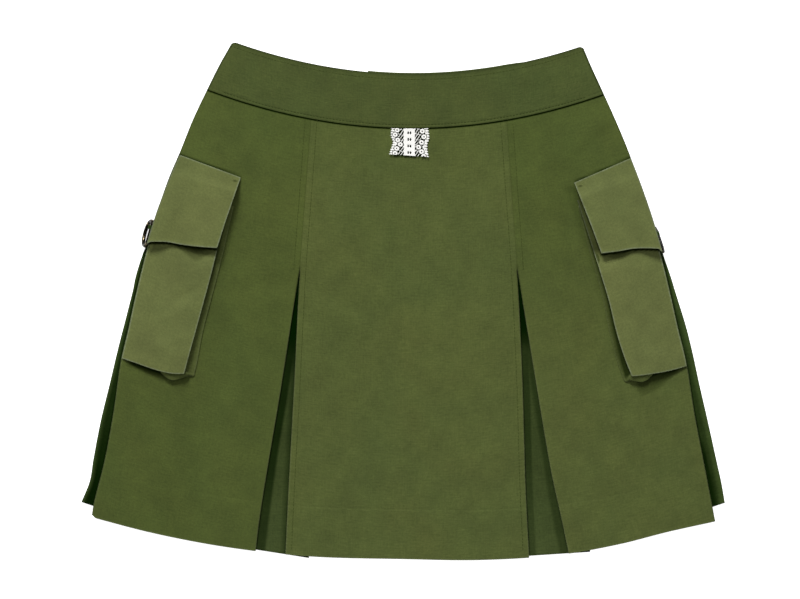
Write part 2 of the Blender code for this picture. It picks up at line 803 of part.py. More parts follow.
def build_loop(side, collection):
    """Narrow cloth loop: both ends lie on the pocket face, its fold holds the bar."""
    middle, along, outward = ring_frame(side)
    centre = middle + along * (LOOP_SHIFT * MM)
    radius = RING_WIRE / 2 + SEW_GAP + LOOP_WALL / 2
    root_plan = centre - outward * (LOOP_REACH * MM)
    root_down = HALF_LENGTH - root_plan.y / MM
    root = face_height(root_plan.x / MM, root_down) + WALL / 2 + SEW_GAP + LOOP_WALL / 2
    upper_root = root + LOOP_WALL + SEW_GAP
    bar = RING[side].height
    section = [(-LOOP_REACH, root), (-0.5 * LOOP_REACH, mix(root, bar - radius, 0.6))]
    for step in range(9):
        angle = math.radians(-90 + 22.5 * step)
        section.append((radius * math.cos(angle), bar + radius * math.sin(angle)))
    section += [(-0.5 * LOOP_REACH, mix(upper_root, bar + radius, 0.5)), (-LOOP_REACH, upper_root)]
    if side == "left":
        section = list(reversed(section))

    def point_at(index, share):
        reach, height = section[index]
        point = centre + outward * (reach * MM) + along * (LOOP_WIDTH * (0.5 - share) * MM)
        return Vector((point.x, point.y, height * MM))

    return lay_cloth("ring_loop_" + side, len(section), 3, point_at, LOOP_WALL, DEEP_TWILL, collection)


def build_lace(collection):
    """Lace tab caught in the waist seam, free at its lower end."""
    def point_at(index, share):
        across_share = index / 6
        across = mix(mix(LACE.top_left, LACE.top_right, across_share),
                     mix(LACE.bottom_left, LACE.bottom_right, across_share), share)
        top = arch_at(WAIST_SEAM, across) + SEAM_GAP
        bottom = mix(LACE.bottom_left_down, LACE.bottom_right_down, across_share)
        down = mix(top, bottom, share)
        height = front_height(across, down) + WALL / 2 + GAP + LACE_WALL / 2
        return place(across, down, height + 0.6 * share * share)

    return lay_cloth("lace_tab", 7, 6, point_at, LACE_WALL, LACE_COTTON, collection)


def main():
    """Build the skirt."""
    for existing in list(bpy.data.objects):
        bpy.data.objects.remove(existing, do_unlink=True)
    collection = bpy.data.collections.new("cargo_utility_skirt")
    bpy.context.scene.collection.children.link(collection)
    build_front_band(collection)
    build_centre_front(collection)
    build_lace(collection)
    for side in ("left", "right"):
        build_back_band(side, collection)
        build_back(side, collection)
        build_side_front(side, collection)
        build_front_underlay(side, collection)
        build_side_underlay(side, collection)
        build_pocket_face(side, collection)
        build_gusset(side, collection)
        build_flap(side, collection)
        build_loop(side, collection)
        build_ring(side, collection)


main()
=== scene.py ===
"""Cargo utility skirt, laid flat on its back: the cloth, sewing and trims that are seen.

The skirt lies in plan coordinates of millimetres. "across" runs to the wearer's left
(+X), "down" runs from the top corners of the waistband to the hem (-Y), and heights
run up from the surface that the skirt lies on (+Z). Every cloth piece is a grid laid
by the lines of the cut, so it follows the solid that it stands for.
"""

import logging
import math
from dataclasses import dataclass, field, fields
from enum import Enum
from typing import Callable, Sequence, TypeVar

import bpy
import numpy as np
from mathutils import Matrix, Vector, noise

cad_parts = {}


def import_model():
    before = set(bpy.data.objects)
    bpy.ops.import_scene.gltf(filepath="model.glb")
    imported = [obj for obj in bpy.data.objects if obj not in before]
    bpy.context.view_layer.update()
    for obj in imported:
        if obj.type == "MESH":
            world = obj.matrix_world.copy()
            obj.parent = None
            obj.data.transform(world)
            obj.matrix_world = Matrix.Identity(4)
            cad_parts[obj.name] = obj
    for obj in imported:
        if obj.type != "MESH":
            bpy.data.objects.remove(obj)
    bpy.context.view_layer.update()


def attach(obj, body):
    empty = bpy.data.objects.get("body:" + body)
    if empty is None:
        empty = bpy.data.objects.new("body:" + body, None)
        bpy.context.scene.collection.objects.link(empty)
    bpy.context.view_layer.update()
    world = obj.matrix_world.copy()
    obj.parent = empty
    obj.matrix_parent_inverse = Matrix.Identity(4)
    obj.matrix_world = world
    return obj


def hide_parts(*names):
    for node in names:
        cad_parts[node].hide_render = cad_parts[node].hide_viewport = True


Array = np.ndarray
Piece = bpy.types.Object
Material = bpy.types.Material
Place = tuple[float, float]
T = TypeVar("T")

LOG = logging.getLogger("skirt")

MM = 0.001
HALF_LENGTH = 227.5  # origin to the top corners of the waistband
WALL = 1.1  # one layer of twill
GAP = 0.35  # air between layers that lie on each other
SEAM_GAP = 0.3  # butt gap at a seam
SEAM_TOUCH = 0.03  # gap left in a closed seam
PITCH = WALL + GAP  # height of one layer on the next
BACK_LEVEL = WALL / 2  # middle of the back panels
HEM_CORNERS = (5, 0.8)  # radius of the hem's outer corners, left and right
HANG_START = 0.6  # share of its length at which a cloth starts to hang free
ROUNDS = 7  # rounds that settle a grid between lines that lean on each other


class Side(Enum):
    """Side of the skirt, as it is seen from the front."""

    LEFT = "left"
    RIGHT = "right"

    @property
    def sign(self) -> float:
        """Direction of this side along X."""
        return self.pick(-1, 1)

    def pick(self, left: T, right: T) -> T:
        """Whichever of two values belongs to this side."""
        return left if self is Side.LEFT else right


# ---- small sums ----
def ease(value: Array) -> Array:
    """Smooth step from 0 to 1."""
    value = np.clip(value, 0, 1)
    return value * value * (3 - 2 * value)


def fall(distance: Array, flat: float | Array, fade: float | Array, amount: float | Array = 1.0) -> Array:
    """Amount that holds over a flat distance and then fades to nothing."""
    return amount * (1 - ease((distance - flat) / fade))


def hump(distance: Array, width: float) -> Array:
    """Smooth hump, 1 at no distance and low beyond its width."""
    return np.exp(-(distance / width) ** 2)


def mix(start: Array, end: Array, share: Array) -> Array:
    """Value at a share of the way from start to end."""
    return start + (end - start) * share


def smooth_table(keys: Sequence[float], values: Sequence[float], key: Array) -> Array:
    """Read a smooth curve through a short table, straight on beyond its ends.

    Args:
        keys: Rising places of the table's rows.
        values: Value at each row.
        key: Places to read.

    Returns:
        The curve's values.
    """
    xs, ys = np.asarray(keys, float), np.asarray(values, float)
    key = np.asarray(key, float)
    index = np.clip(np.searchsorted(xs, key, side="left") - 1, 0, len(xs) - 2)
    slopes = np.diff(ys) / np.diff(xs)
    leans = np.concatenate(([slopes[0]], (slopes[:-1] + slopes[1:]) / 2, [slopes[-1]]))
    span = xs[index + 1] - xs[index]
    share = (key - xs[index]) / span
    square, cube = share * share, share ** 3
    inside = (
        (2 * cube - 3 * square + 1) * ys[index] + (cube - 2 * square + share) * span * leans[index]
        + (3 * square - 2 * cube) * ys[index + 1] + (cube - square) * span * leans[index + 1])
    before = ys[index] + leans[index] * (key - xs[index])
    after = ys[index + 1] + leans[index + 1] * (key - xs[index + 1])
    return np.where(share <= 0, before, np.where(share >= 1, after, inside))


def smooth_rows(rows: Array, step: float) -> tuple[Array, Array]:
    """Run a smooth curve through rows of places.

    Args:
        rows: The rows, counted from 0.
        step: Step of the finer rows, in rows.

    Returns:
        The finer rows' counts and their places.
    """
    count = np.array(spread(0, len(rows) - 1, step))
    flat = [smooth_table(range(len(rows)), column, count) for column in rows.reshape(len(rows), -1).T]
    return count, np.transpose(flat).reshape(len(count), *rows.shape[1:])


def corner_cut(radius: float, from_edge: Array) -> Array:
    """How far a rounded corner cuts in, at a distance from the edge."""
    reach = np.clip(radius - np.maximum(from_edge, 0), 0, radius)
    return np.where(reach > 0, radius - np.sqrt(np.maximum(radius * radius - reach * reach, 0)), 0)


def spread(start: float, end: float, step: float) -> list[float]:
    """Even places from start to end, no further apart than a step."""
    count = max(1, math.ceil(abs(end - start) / step))
    return [start + (end - start) * k / count for k in range(count + 1)]


def join_places(*runs: Sequence[float]) -> list[float]:
    """Join several runs of places.

    Args:
        runs: The runs, in any order.

    Returns:
        Their places rising, each once.
    """
    places = sorted(value for run in runs for value in run)
    kept = [places[0]]
    for value in places[1:]:
        if value - kept[-1] > 1e-6:
            kept.append(value)
    return kept


# ---- the cut ----
@dataclass(frozen=True)
class Courses:
    """A line by its rows: (place along it, value on the left, value on the right)."""

    rows: tuple[tuple[float, float, float], ...]

    def at(self, side: Side, place: Array) -> Array:
        """Value of the line on one side."""
        places, left, right = zip(*self.rows)
        return smooth_table(places, side.pick(left, right), place)


@dataclass(frozen=True)
class Arch:
    """A shallow parabola across the skirt, lowest at its middle."""

    middle: float
    lowest: float
    rise: float

    def at(self, across: Array) -> Array:
        """Course of the arch."""
        return self.lowest - self.rise * (across - self.middle) ** 2


@dataclass(frozen=True)
class PocketCut:
    """Corners of a pocket face, its raised edge inward."""

    mouth_outer_down: float
    mouth_inner: float
    mouth_inner_down: float
    bottom_outer_down: float
    bottom_inner: float
    bottom_inner_down: float

    def drop_share(self, down: Array) -> Array:
        """Share of the way down the inner edge, past 0 and 1 beyond its ends."""
        return (down - self.mouth_inner_down) / (self.bottom_inner_down - self.mouth_inner_down)


@dataclass(frozen=True)
class FlapCut:
    """Corners of a pocket flap and the bow of its outer edge."""

    top_outer: float
    top_outer_down: float
    top_inner: float
    top_inner_down: float
    bottom_outer: float
    bottom_outer_down: float
    bottom_inner: float
    bottom_inner_down: float
    bow: float


@dataclass(frozen=True)
class Cut:
    """Lines of the cut and the heights at which the layers lie."""

    side_edge: Courses = Courses((
        (0, 150.5, 156.9), (20.2, 161.9, 165.4), (41.4, 172.5, 175.1), (67.8, 185, 187),
        (94.2, 195.6, 198), (120.6, 206.8, 207.4), (147, 215.8, 216.4), (178, 224.5, 224.6),
        (203, 230.8, 231.2), (228, 236.7, 237), (250, 241.4, 241.9), (278, 247.9, 248.8),
        (326, 255, 256.6), (370, 263.2, 265), (406, 272.2, 271.9), (425, 275.4, 275.6)))
    centre_edge: Courses = Courses((
        (66, 80.8, 91), (138, 86.2, 96.2), (201, 90.9, 100.7), (298, 95.8, 105.4),
        (394, 101, 108.3), (456, 103.9, 111.4)))
    pleat_opening: Courses = Courses((
        (201, 0, 0), (248, 5.1, 5.3), (309, 11.6, 12.7), (376, 19.2, 22.3),
        (420, 23.9, 30), (456, 26.7, 35.6)))
    strip_edge: Courses = Courses((
        (130, 207, 207.4), (165, 218.8, 219.6), (176, 224.4, 225.2), (183, 228, 228), (190, 230.5, 230.2),
        (197, 232.8, 232.7), (207, 235.6, 236.1), (218, 237.8, 239.4), (226, 239.8, 241.9),
        (248, 245.4, 248.7), (261, 248.8, 252.1), (279, 253.2, 256.3), (297, 257.4, 260.1),
        (332, 265.9, 268.1), (367, 272.6, 275.8), (386, 275.8, 280), (404.4, 283.2, 283.2)))
    hem_line: tuple[Place, ...] = (
        (-276, 416.8), (-221, 431.1), (-157.5, 443.3), (-84, 451.7), (1, 454.2),
        (68, 455), (138, 450.4), (191, 441), (233, 430.3), (276, 420.8))
    # how far edges hang or bow past a straight line: the face's lower edge and the flap's
    # free edge by their share inward, the face's inner edge by its share down
    face_sag: Courses = Courses((
        (0, 0, 0.3), (0.2, 1, 1.5), (0.45, 2.5, 2.3), (0.65, 3, 2.3), (0.82, 2.4, 2.2), (1, 0, 1.6)))
    flap_sag: Courses = Courses((
        (0, 0.8, 0.6), (0.1, 0.2, -0.2), (0.28, -0.5, -1.1), (0.48, 0.8, -1.2), (0.7, 1.5, 0.2),
        (1, 1.5, 1.3)))
    face_bow: Courses = Courses((
        (0, 0.6, 0), (0.2, 1.5, 0), (0.41, 1.8, 0), (0.58, 1.35, 0.4), (0.75, 0.8, 2.3), (0.9, 0.2, 2.1),
        (1, 0, 0.7)))
    top_edge: Arch = Arch(9.7, 27.5, 0.001125)
    waist_seam: Arch = Arch(7.9, 75, 0.001045)
    centre_line: float = 4.8
    return_width: float = 22.0
    return_margin: float = 2.0
    pleat_slope: float = 40.0
    side_slope: float = 69.0
    underlay_depth: float = 24.0
    open_level: float = 2.3
    waist_level: float = 3.2
    band_level: float = 3.45
    blend_loss: float = 2.0
    waist_settle: float = 60.0
    pleat_run: float = 110.0
    side_run: float = 80.0
    pleat_share: float = 0.25
    side_share: float = 0.15
    face_inset: float = 0.4
    pocket_raise: float = 6.0
    mouth_share: float = 0.85
    mouth_run: float = 40.0
    pocket_left: PocketCut = PocketCut(117, 153.9, 137.4, 277.6, 192.6, 291.2)
    pocket_right: PocketCut = PocketCut(120, 153.3, 138.4, 284.2, 202.2, 291.8)
    flap_left: FlapCut = FlapCut(196.4, 98.4, 142.7, 118.4, 225.2, 174.3, 163.6, 179, 1.6)
    flap_right: FlapCut = FlapCut(200.6, 101.2, 150.7, 122.9, 227.8, 180.8, 174.6, 183.8, 1.2)

    def pleat_edge(self, side: Side, down: Array) -> Array:
        """Distance outward of a side front's inner edge: seam above, open pleat below."""
        start = self.pleat_opening.rows[0][0]
        return self.centre_edge.at(side, down) + np.where(down > start, self.pleat_opening.at(side, down), 0)

    def hem(self, across: Array) -> Array:
        """Course of the hem."""
        places, downs = zip(*self.hem_line)
        return smooth_table(places, downs, across)

    def pocket(self, side: Side) -> PocketCut:
        """Cut of one side's pocket face."""
        return side.pick(self.pocket_left, self.pocket_right)

    def flap(self, side: Side) -> FlapCut:
        """Cut of one side's pocket flap."""
        return side.pick(self.flap_left, self.flap_right)

    def front_height(self, across: Array, down: Array) -> Array:
        """Middle of the front layer above the surface."""
        left, right = (self._front_height(side, across, down) for side in Side)
        return np.where(across < self.centre_line, left, right)

    def _front_height(self, side: Side, across: Array, down: Array) -> Array:
        """Height of the front layer by the lines of one side.

        Args:
            side: Side whose lines are followed.
            across: Places across the skirt.
            down: Their courses.

        Returns:
            The ground between the layers, raised over the pleats and the side folds.
        """
        outward = across * side.sign
        below = down - self.waist_seam.at(across)
        ground = mix(self.waist_level, self.open_level, ease(below / self.waist_settle))
        reach = self.return_width + self.return_margin
        inner = self.centre_edge.at(side, down) - reach
        outer = self.pleat_edge(side, down) + reach
        away = np.maximum(np.maximum(inner - outward, outward - outer), 0)
        pleat = 1 - ease(away / self.pleat_slope)
        start = self.side_edge.at(side, down) - self.underlay_depth - self.return_margin - self.side_slope
        stack = ease((outward - start) / self.side_slope)
        pleat_level, side_level = BACK_LEVEL + 3 * PITCH, BACK_LEVEL + 4 * PITCH
        over_pleat = pleat * mix(self.pleat_share, 1, ease(below / self.pleat_run)) * (pleat_level - ground)
        over_stack = stack * mix(self.side_share, 1, ease(below / self.side_run)) * (side_level - ground)
        return ground + np.maximum(
            np.maximum(over_pleat, over_stack), over_pleat + over_stack - self.blend_loss)

    def band_height(self, across: Array, down: Array) -> Array:
        """Middle of the front waistband.

        Args:
            across: Places across the band.
            down: Their courses.

        Returns:
            Height, level along the top edge and following the panels at the seam.
        """
        seam, top = self.waist_seam.at(across), self.top_edge.at(across)
        share = np.clip((down - top) / (seam - top), 0, 1)
        return self.band_level + (self.front_height(across, seam) - self.waist_level) * share

    def pocket_inner(self, side: Side, down: Array) -> Array:
        """Distance outward of a pocket face's inner edge."""
        cut = self.pocket(side)
        return mix(cut.mouth_inner, cut.bottom_inner, cut.drop_share(down))

    def face_height(self, side: Side, outward: Array, down: Array) -> Array:
        """Middle of a pocket face.

        Args:
            side: Side of the pocket.
            outward: Distances outward.
            down: Their courses.

        Returns:
            Height, flat on the side fold and raised towards the inner edge.
        """
        edge = self.side_edge.at(side, down)
        inward = np.clip((edge - outward) / (edge - self.pocket_inner(side, down)), 0, 1)
        fullness = mix(
            self.mouth_share, 1, ease((down - self.pocket(side).mouth_inner_down) / self.mouth_run))
        raised = self.pocket_raise * (1 - (1 - inward) ** 2) * fullness
        return self.front_height((edge - self.face_inset) * side.sign, down) + PITCH + raised

    def face_point(self, side: Side, inward: Array, share: Array) -> tuple[Array, Array]:
        """Plan position on a pocket face.

        Args:
            side: Side of the pocket.
            inward: Share from the outer to the inner edge.
            share: Share from the mouth to the bottom.

        Returns:
            Distance outward and course.
        """
        cut = self.pocket(side)
        outer_down = mix(cut.mouth_outer_down, cut.bottom_outer_down, share)
        inner_down = mix(cut.mouth_inner_down, cut.bottom_inner_down, share)
        outer = self.side_edge.at(side, outer_down) - self.face_inset
        inner = mix(cut.mouth_inner, cut.bottom_inner, share) - self.face_bow.at(side, share)
        hang = ease((share - HANG_START) / (1 - HANG_START))
        down = mix(outer_down, inner_down, inward) + self.face_sag.at(side, inward) * hang
        return mix(outer, inner, inward), down


CUT = Cut()


# ---- creases ----
@dataclass(frozen=True)
class Crease:
    """A soft ridge or trough between two places of the plan, in millimetres."""

    start_across: float
    start_down: float
    end_across: float
    end_down: float
    width: float
    rise: float
    bend: float = 0.0

    def at(self, across: Array, down: Array) -> Array:
        """Height that the crease adds.

        Args:
            across: Places across the cloth.
            down: Their courses.

        Returns:
            Height at each place.
        """
        x, y = self.end_across - self.start_across, self.end_down - self.start_down
        length = math.hypot(x, y)
        along = ((across - self.start_across) * x + (down - self.start_down) * y) / length
        aside = ((down - self.start_down) * x - (across - self.start_across) * y) / length
        share = np.clip(along / length, 0, 1)
        aside = aside - self.bend * 4 * share * (1 - share)
        beyond = np.maximum(np.maximum(-along, along - length), 0)
        return self.rise * np.exp(-(aside / self.width) ** 2 - (beyond / (1.6 * self.width)) ** 2)


@dataclass(frozen=True)
class Relief:
    """The creases of one cloth, a row of sizes for each, over a gentle unevenness."""

    waviness: float
    wave_size: float
    seed: float
    creases: tuple[tuple[float, ...], ...]

    def at(self, across: Array, down: Array) -> Array:
        """Height that the relief adds.

        Args:
            across: Places across the cloth.
            down: Their courses.

        Returns:
            Height at each place.
        """
        size, seed = self.wave_size, self.seed
        waves = np.array([noise.noise(Vector((x / size, y / size, seed)))
                          + 0.45 * noise.noise(Vector((x / size * 2.7, y / size * 2.1, seed + 7)))
                          for x, y in zip(np.ravel(across), np.ravel(down))]).reshape(np.shape(across))
        return sum((Crease(*row).at(across, down) for row in self.creases), self.waviness * waves)


# ---- laying cloth ----
BEYOND_EDGE_MARKS = 9.0  # edge distance of a place that no wearing, painted highlight or painted outline reaches, mm


def deselect() -> None:
    """Leave edit mode with nothing selected."""
    if bpy.context.object is not None and bpy.context.object.mode != "OBJECT":
        bpy.ops.object.mode_set(mode="OBJECT")
    bpy.ops.object.select_all(action="DESELECT")


def take_up(piece: Piece) -> None:
    """Make a piece the only selected and active object.

    Args:
        piece: The piece.
    """
    deselect()
    piece.select_set(True)
    bpy.context.view_layer.objects.active = piece


def apply_all(piece: Piece) -> None:
    """Apply every modifier of a piece, from the first.

    Args:
        piece: The piece.
    """
    take_up(piece)
    for modifier in list(piece.modifiers):
        bpy.ops.object.modifier_apply(modifier=modifier.name)


def dress(piece: Piece, material: Material, slot: str, body: str = "skirt") -> None:
    """Finish a piece.

    Args:
        piece: The piece.
        material: Its material.
        slot: Not used.
        body: Body that it rides on.
    """
    piece.data.materials.clear()
    piece.data.materials.append(material)
    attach(piece, body)


def run_lengths(points: Array, axis: int) -> Array:
    """Length of cloth to each place from the first row (axis 0) or column (axis 1)."""
    steps = np.cumsum(np.linalg.norm(np.diff(points, axis=axis), axis=2), axis=axis)
    return np.insert(steps, 0, 0, axis=axis)


@dataclass
class Sheet:
    """A grid of cloth with a wall.

    points holds (across, down, height) in millimetres, by row from the waist side and
    by column towards +X, so that the faces look up. edge is the distance to the nearest
    edge that is lightened by wearing and a painted highlight and darkened by a painted
    outline; shade is painted shade from 0 to 1, in the depth of folds, under flaps and
    pockets and along seams; and cast is the share of a darker, greener tone.
    """

    name: str
    points: Array
    wall: float
    rounding: float = 0.3
    edge: Array | None = None
    shade: Array | None = None
    cast: Array | None = None

    def lay(self) -> Piece:
        """Lay the grid and give it its wall, rounded edges and cloth coordinates.

        Returns:
            The finished cloth.
        """
        rows, columns = self.points.shape[:2]
        deselect()
        bpy.ops.mesh.primitive_grid_add(
            x_subdivisions=columns - 1, y_subdivisions=rows - 1, size=2, location=(0, 0, 0))
        cloth = bpy.context.object
        cloth.name = cloth.data.name = self.name + "_cloth"
        mesh = cloth.data
        flat = np.empty(len(mesh.vertices) * 3)
        mesh.vertices.foreach_get("co", flat)
        flat = flat.reshape(-1, 3)
        column = np.rint((flat[:, 0] + 1) / 2 * (columns - 1)).astype(int)
        row = np.rint((1 - flat[:, 1]) / 2 * (rows - 1)).astype(int)
        points = self.points[row, column]
        laid = np.column_stack((points[:, 0] * MM, (HALF_LENGTH - points[:, 1]) * MM, points[:, 2] * MM))
        mesh.vertices.foreach_set("co", laid.ravel())
        along = run_lengths(self.points, 1)
        along = along - along[:, columns // 2][:, None]
        drop = run_lengths(self.points, 0)
        self._write_uv(mesh, along[row, column], -drop[row, column])
        for name, values, plain in (("edge", self.edge, BEYOND_EDGE_MARKS), ("shade", self.shade, 0),
                                    ("cast", self.cast, 0)):
            layer = mesh.attributes.new(name, "FLOAT", "POINT")
            held = np.full(len(row), plain) if values is None else values[row, column]
            layer.data.foreach_set("value", np.asarray(held, np.float32))
        mesh.update()
        solidify = cloth.modifiers.new("wall", "SOLIDIFY")
        solidify.thickness = self.wall * MM
        solidify.offset = 0.0
        solidify.use_even_offset = True
        solidify.use_quality_normals = True
        bevel = cloth.modifiers.new("rounding", "BEVEL")
        bevel.width = self.rounding * MM
        bevel.segments = 2
        bevel.limit_method = "ANGLE"
        bevel.angle_limit = math.radians(58)
        apply_all(cloth)
        bpy.ops.object.shade_smooth_by_angle(angle=math.radians(50))
        return cloth

    def dressed(self, material: Material) -> Piece:
        """Lay the cloth in its material, in place of the solid of its name.

        Args:
            material: The cloth's finish.

        Returns:
            The finished cloth.
        """
        cloth = self.lay()
        dress(cloth, material, self.name)
        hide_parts(self.name)
        return cloth

    @staticmethod
    def _write_uv(mesh: bpy.types.Mesh, along: Array, drop: Array) -> None:
        """Write the cloth's own coordinates in metres as its UV map.

        Args:
            mesh: The laid grid.
            along: Length of cloth towards +X at each vertex.
            drop: Length of cloth towards the waist at each vertex.
        """
        layer = mesh.uv_layers[0] if mesh.uv_layers else mesh.uv_layers.new()
        layer.name = "cloth"
        loops = np.empty(len(mesh.loops), dtype=np.int32)
        mesh.loops.foreach_get("vertex_index", loops)
        uv = np.column_stack((along, drop)) * MM
        layer.data.foreach_set("uv", uv[loops].ravel())


def edge_distance(points: Array, waist: bool = False, hem: bool = True, start: bool = True,
                  end: bool = True) -> Array:
    """Distance along the cloth to its nearest border of wearing, painted highlight and painted outline.

    Args:
        points: The grid's places.
        waist: Whether the first row is worn.
        hem: Whether the last row is worn.
        start: Whether the first column is worn.
        end: Whether the last column is worn.

    Returns:
        The distance at each place.
    """
    along, drop = run_lengths(points, 1), run_lengths(points, 0)
    distance = np.full(along.shape, 99.0)
    for chosen, reach in ((waist, drop), (hem, drop[-1:] - drop), (start, along),
                          (end, along[:, -1:] - along)):
        if chosen:
            distance = np.minimum(distance, reach)
    return distance


def grid(rows: Sequence[float], *columns: Sequence[float]) -> list[Array]:
    """Row values, then each run of column values, spread over a grid."""
    return np.broadcast_arrays(np.asarray(rows, float)[:, None], *(np.asarray(run, float) for run in columns))


# ---- stitches ----
@dataclass
class Stitches:
    """Machine stitches: small flattened capsules laid in a row along lines."""

    name: str
    length: float = 2.3
    pitch: float = 2.9
    width: float = 0.55
    lift: float = 0.08
    made: list[tuple[Array, Array]] = field(default_factory=list)

    def run(self, line: Array) -> None:
        """Lay stitches along a line.

        Args:
            line: Its (across, down, height) places in millimetres.
        """
        lengths = np.concatenate(([0], np.cumsum(np.linalg.norm(np.diff(line, axis=0), axis=1))))
        count = int((lengths[-1] - self.length) / self.pitch)
        for index in range(max(count, 0) + 1):
            start = index * self.pitch + 0.2
            first, last = (np.array([np.interp(s, lengths, line[:, k]) for k in range(3)])
                           for s in (start, start + self.length))
            self.made.append((first, last))

    def sew(self) -> Piece:
        """Make all the stitches as one mesh.

        Returns:
            The stitches.
        """
        deselect()
        bpy.ops.mesh.primitive_uv_sphere_add(segments=8, ring_count=5, radius=0.5, location=(0, 0, 0))
        model = bpy.context.object
        shape = np.array([v.co[:] for v in model.data.vertices])
        # number the model's corners and faces by their place, so that every run gives the same mesh
        order = np.lexsort(np.round(shape, 6).T)
        shape, rank = shape[order], np.argsort(order).tolist()
        faces = [[rank[k] for k in face.vertices] for face in model.data.polygons]
        turns = (face.index(min(face)) for face in faces)
        faces = sorted(tuple(face[turn:] + face[:turn]) for face, turn in zip(faces, turns))
        bpy.data.objects.remove(model, do_unlink=True)
        vertices, polygons = [], []
        for ends in self.made:
            first, last = (np.array((x, HALF_LENGTH - y, z + self.lift)) for x, y, z in ends)
            run = last - first
            length = np.linalg.norm(run)
            forward = run / length
            aside = np.cross((0, 0, 1), forward)
            aside /= np.linalg.norm(aside)
            up = np.cross(forward, aside)
            base = len(vertices)
            stretched = (np.outer(shape[:, 2], forward) * length + np.outer(shape[:, 0], aside) * self.width
                         + np.outer(shape[:, 1], up) * self.width * 0.7 + (first + last) / 2)
            vertices.extend(map(tuple, stretched * MM))
            polygons.extend(tuple(base + k for k in face) for face in faces)
        mesh = bpy.data.meshes.new(self.name)
        mesh.from_pydata(vertices, [], polygons)
        mesh.update()
        sewn = bpy.data.objects.new(self.name, mesh)
        bpy.context.scene.collection.objects.link(sewn)
        take_up(sewn)
        bpy.ops.object.mode_set(mode="EDIT")
        bpy.ops.mesh.select_all(action="SELECT")
        bpy.ops.mesh.normals_make_consistent(inside=False)
        bpy.ops.object.mode_set(mode="OBJECT")
        bpy.ops.object.shade_smooth()
        return sewn


# ---- finishes ----
Colour = tuple[float, float, float]
Socket = bpy.types.NodeSocket


class Nodes:
    """Short hand for wiring one material's nodes."""

    def __init__(self, name: str) -> None:
        """Start a material with its shader and output.

        Args:
            name: The material's name.
        """
        self.material = bpy.data.materials.new(name)
        self.material.use_nodes = True
        self.tree = self.material.node_tree
        self.shader = self.tree.nodes["Principled BSDF"]

    def add(self, kind: str, **settings: object) -> bpy.types.Node:
        """Add a node.

        Args:
            kind: Its type, without the prefix of shader nodes.
            settings: Its plain properties.

        Returns:
            The node.
        """
        node = self.tree.nodes.new("ShaderNode" + kind)
        for key, value in settings.items():
            setattr(node, key, value)
        return node

    def feed(self, target: Socket, value: Socket | float | tuple[float, ...]) -> None:
        """Give an input its value.

        Args:
            target: The input.
            value: A socket to link, or a number, vector or colour to set.
        """
        if isinstance(value, bpy.types.NodeSocket):
            self.tree.links.new(value, target)
        else:
            target.default_value = (*value, 1) if target.type == "RGBA" else value

    def math(self, operation: str, *values: Socket | float) -> Socket:
        """Add a sum.

        Args:
            operation: Kind of sum.
            values: What it takes, each a socket or a number.

        Returns:
            The result.
        """
        node = self.add("Math", operation=operation)
        for target, value in zip(node.inputs, values):
            self.feed(target, value)
        return node.outputs[0]

    def result(self, kind: str, output: str | int, **inputs: Socket | float | tuple[float, ...]) -> Socket:
        """Add a node and feed its named inputs.

        Args:
            kind: Its type, without the prefix of shader nodes.
            output: Which of its outputs is wanted.
            inputs: Values by the inputs' names, with _ for a space.

        Returns:
            The output.
        """
        node = self.add(kind)
        for name, value in inputs.items():
            self.feed(node.inputs[name.replace("_", " ")], value)
        return node.outputs[output]

    def noise(self, vector: Socket, scale: float, detail: float = 2.0, roughness: float = 0.5) -> Socket:
        """Value of a noise texture."""
        return self.result("TexNoise", "Fac", Vector=vector, Scale=scale, Detail=detail, Roughness=roughness)

    def stretched(self, vector: Socket, scale: tuple[float, float, float], turn: float = 0.0) -> Socket:
        """Coordinate scaled along its axes and turned about Z."""
        return self.result("Mapping", 0, Vector=vector, Scale=scale, Rotation=(0, 0, turn))

    def ramp(self, value: Socket, low: float, high: float, start: float = 0.0, end: float = 1.0) -> Socket:
        """One range of a value mapped to another, clamped."""
        return self.result("MapRange", 0, Value=value, From_Min=low, From_Max=high, To_Min=start, To_Max=end)

    def bump(self, height: Socket, strength: float, distance: float) -> None:
        """Shape the surface's normals by a height, in metres at full height."""
        self.feed(self.shader.inputs["Normal"],
                  self.result("Bump", 0, Height=height, Strength=strength, Distance=distance))

    def blend(self, share: Socket | float, first: Socket | Colour, second: Socket | Colour,
              mode: str = "MIX") -> Socket:
        """Blend two colours.

        Args:
            share: Share of the second.
            first: A socket or a colour.
            second: A socket or a colour.
            mode: Kind of blend.

        Returns:
            The blended colour.
        """
        node = self.add("Mix", data_type="RGBA", blend_type=mode, clamp_result=True)
        for index, value in ((0, share), (6, first), (7, second)):
            self.feed(node.inputs[index], value)
        return node.outputs[2]

    def finish(self, viewport: Colour, **inputs: Socket | float) -> Material:
        """Feed the shader's named inputs.

        Args:
            viewport: Colour of the material in a plain view.
            inputs: Values by the inputs' names, with _ for a space.

        Returns:
            The finished material.
        """
        for name, value in inputs.items():
            self.feed(self.shader.inputs[name.replace("_", " ")], value)
        self.material.diffuse_color = (*viewport, 1)
        return self.material


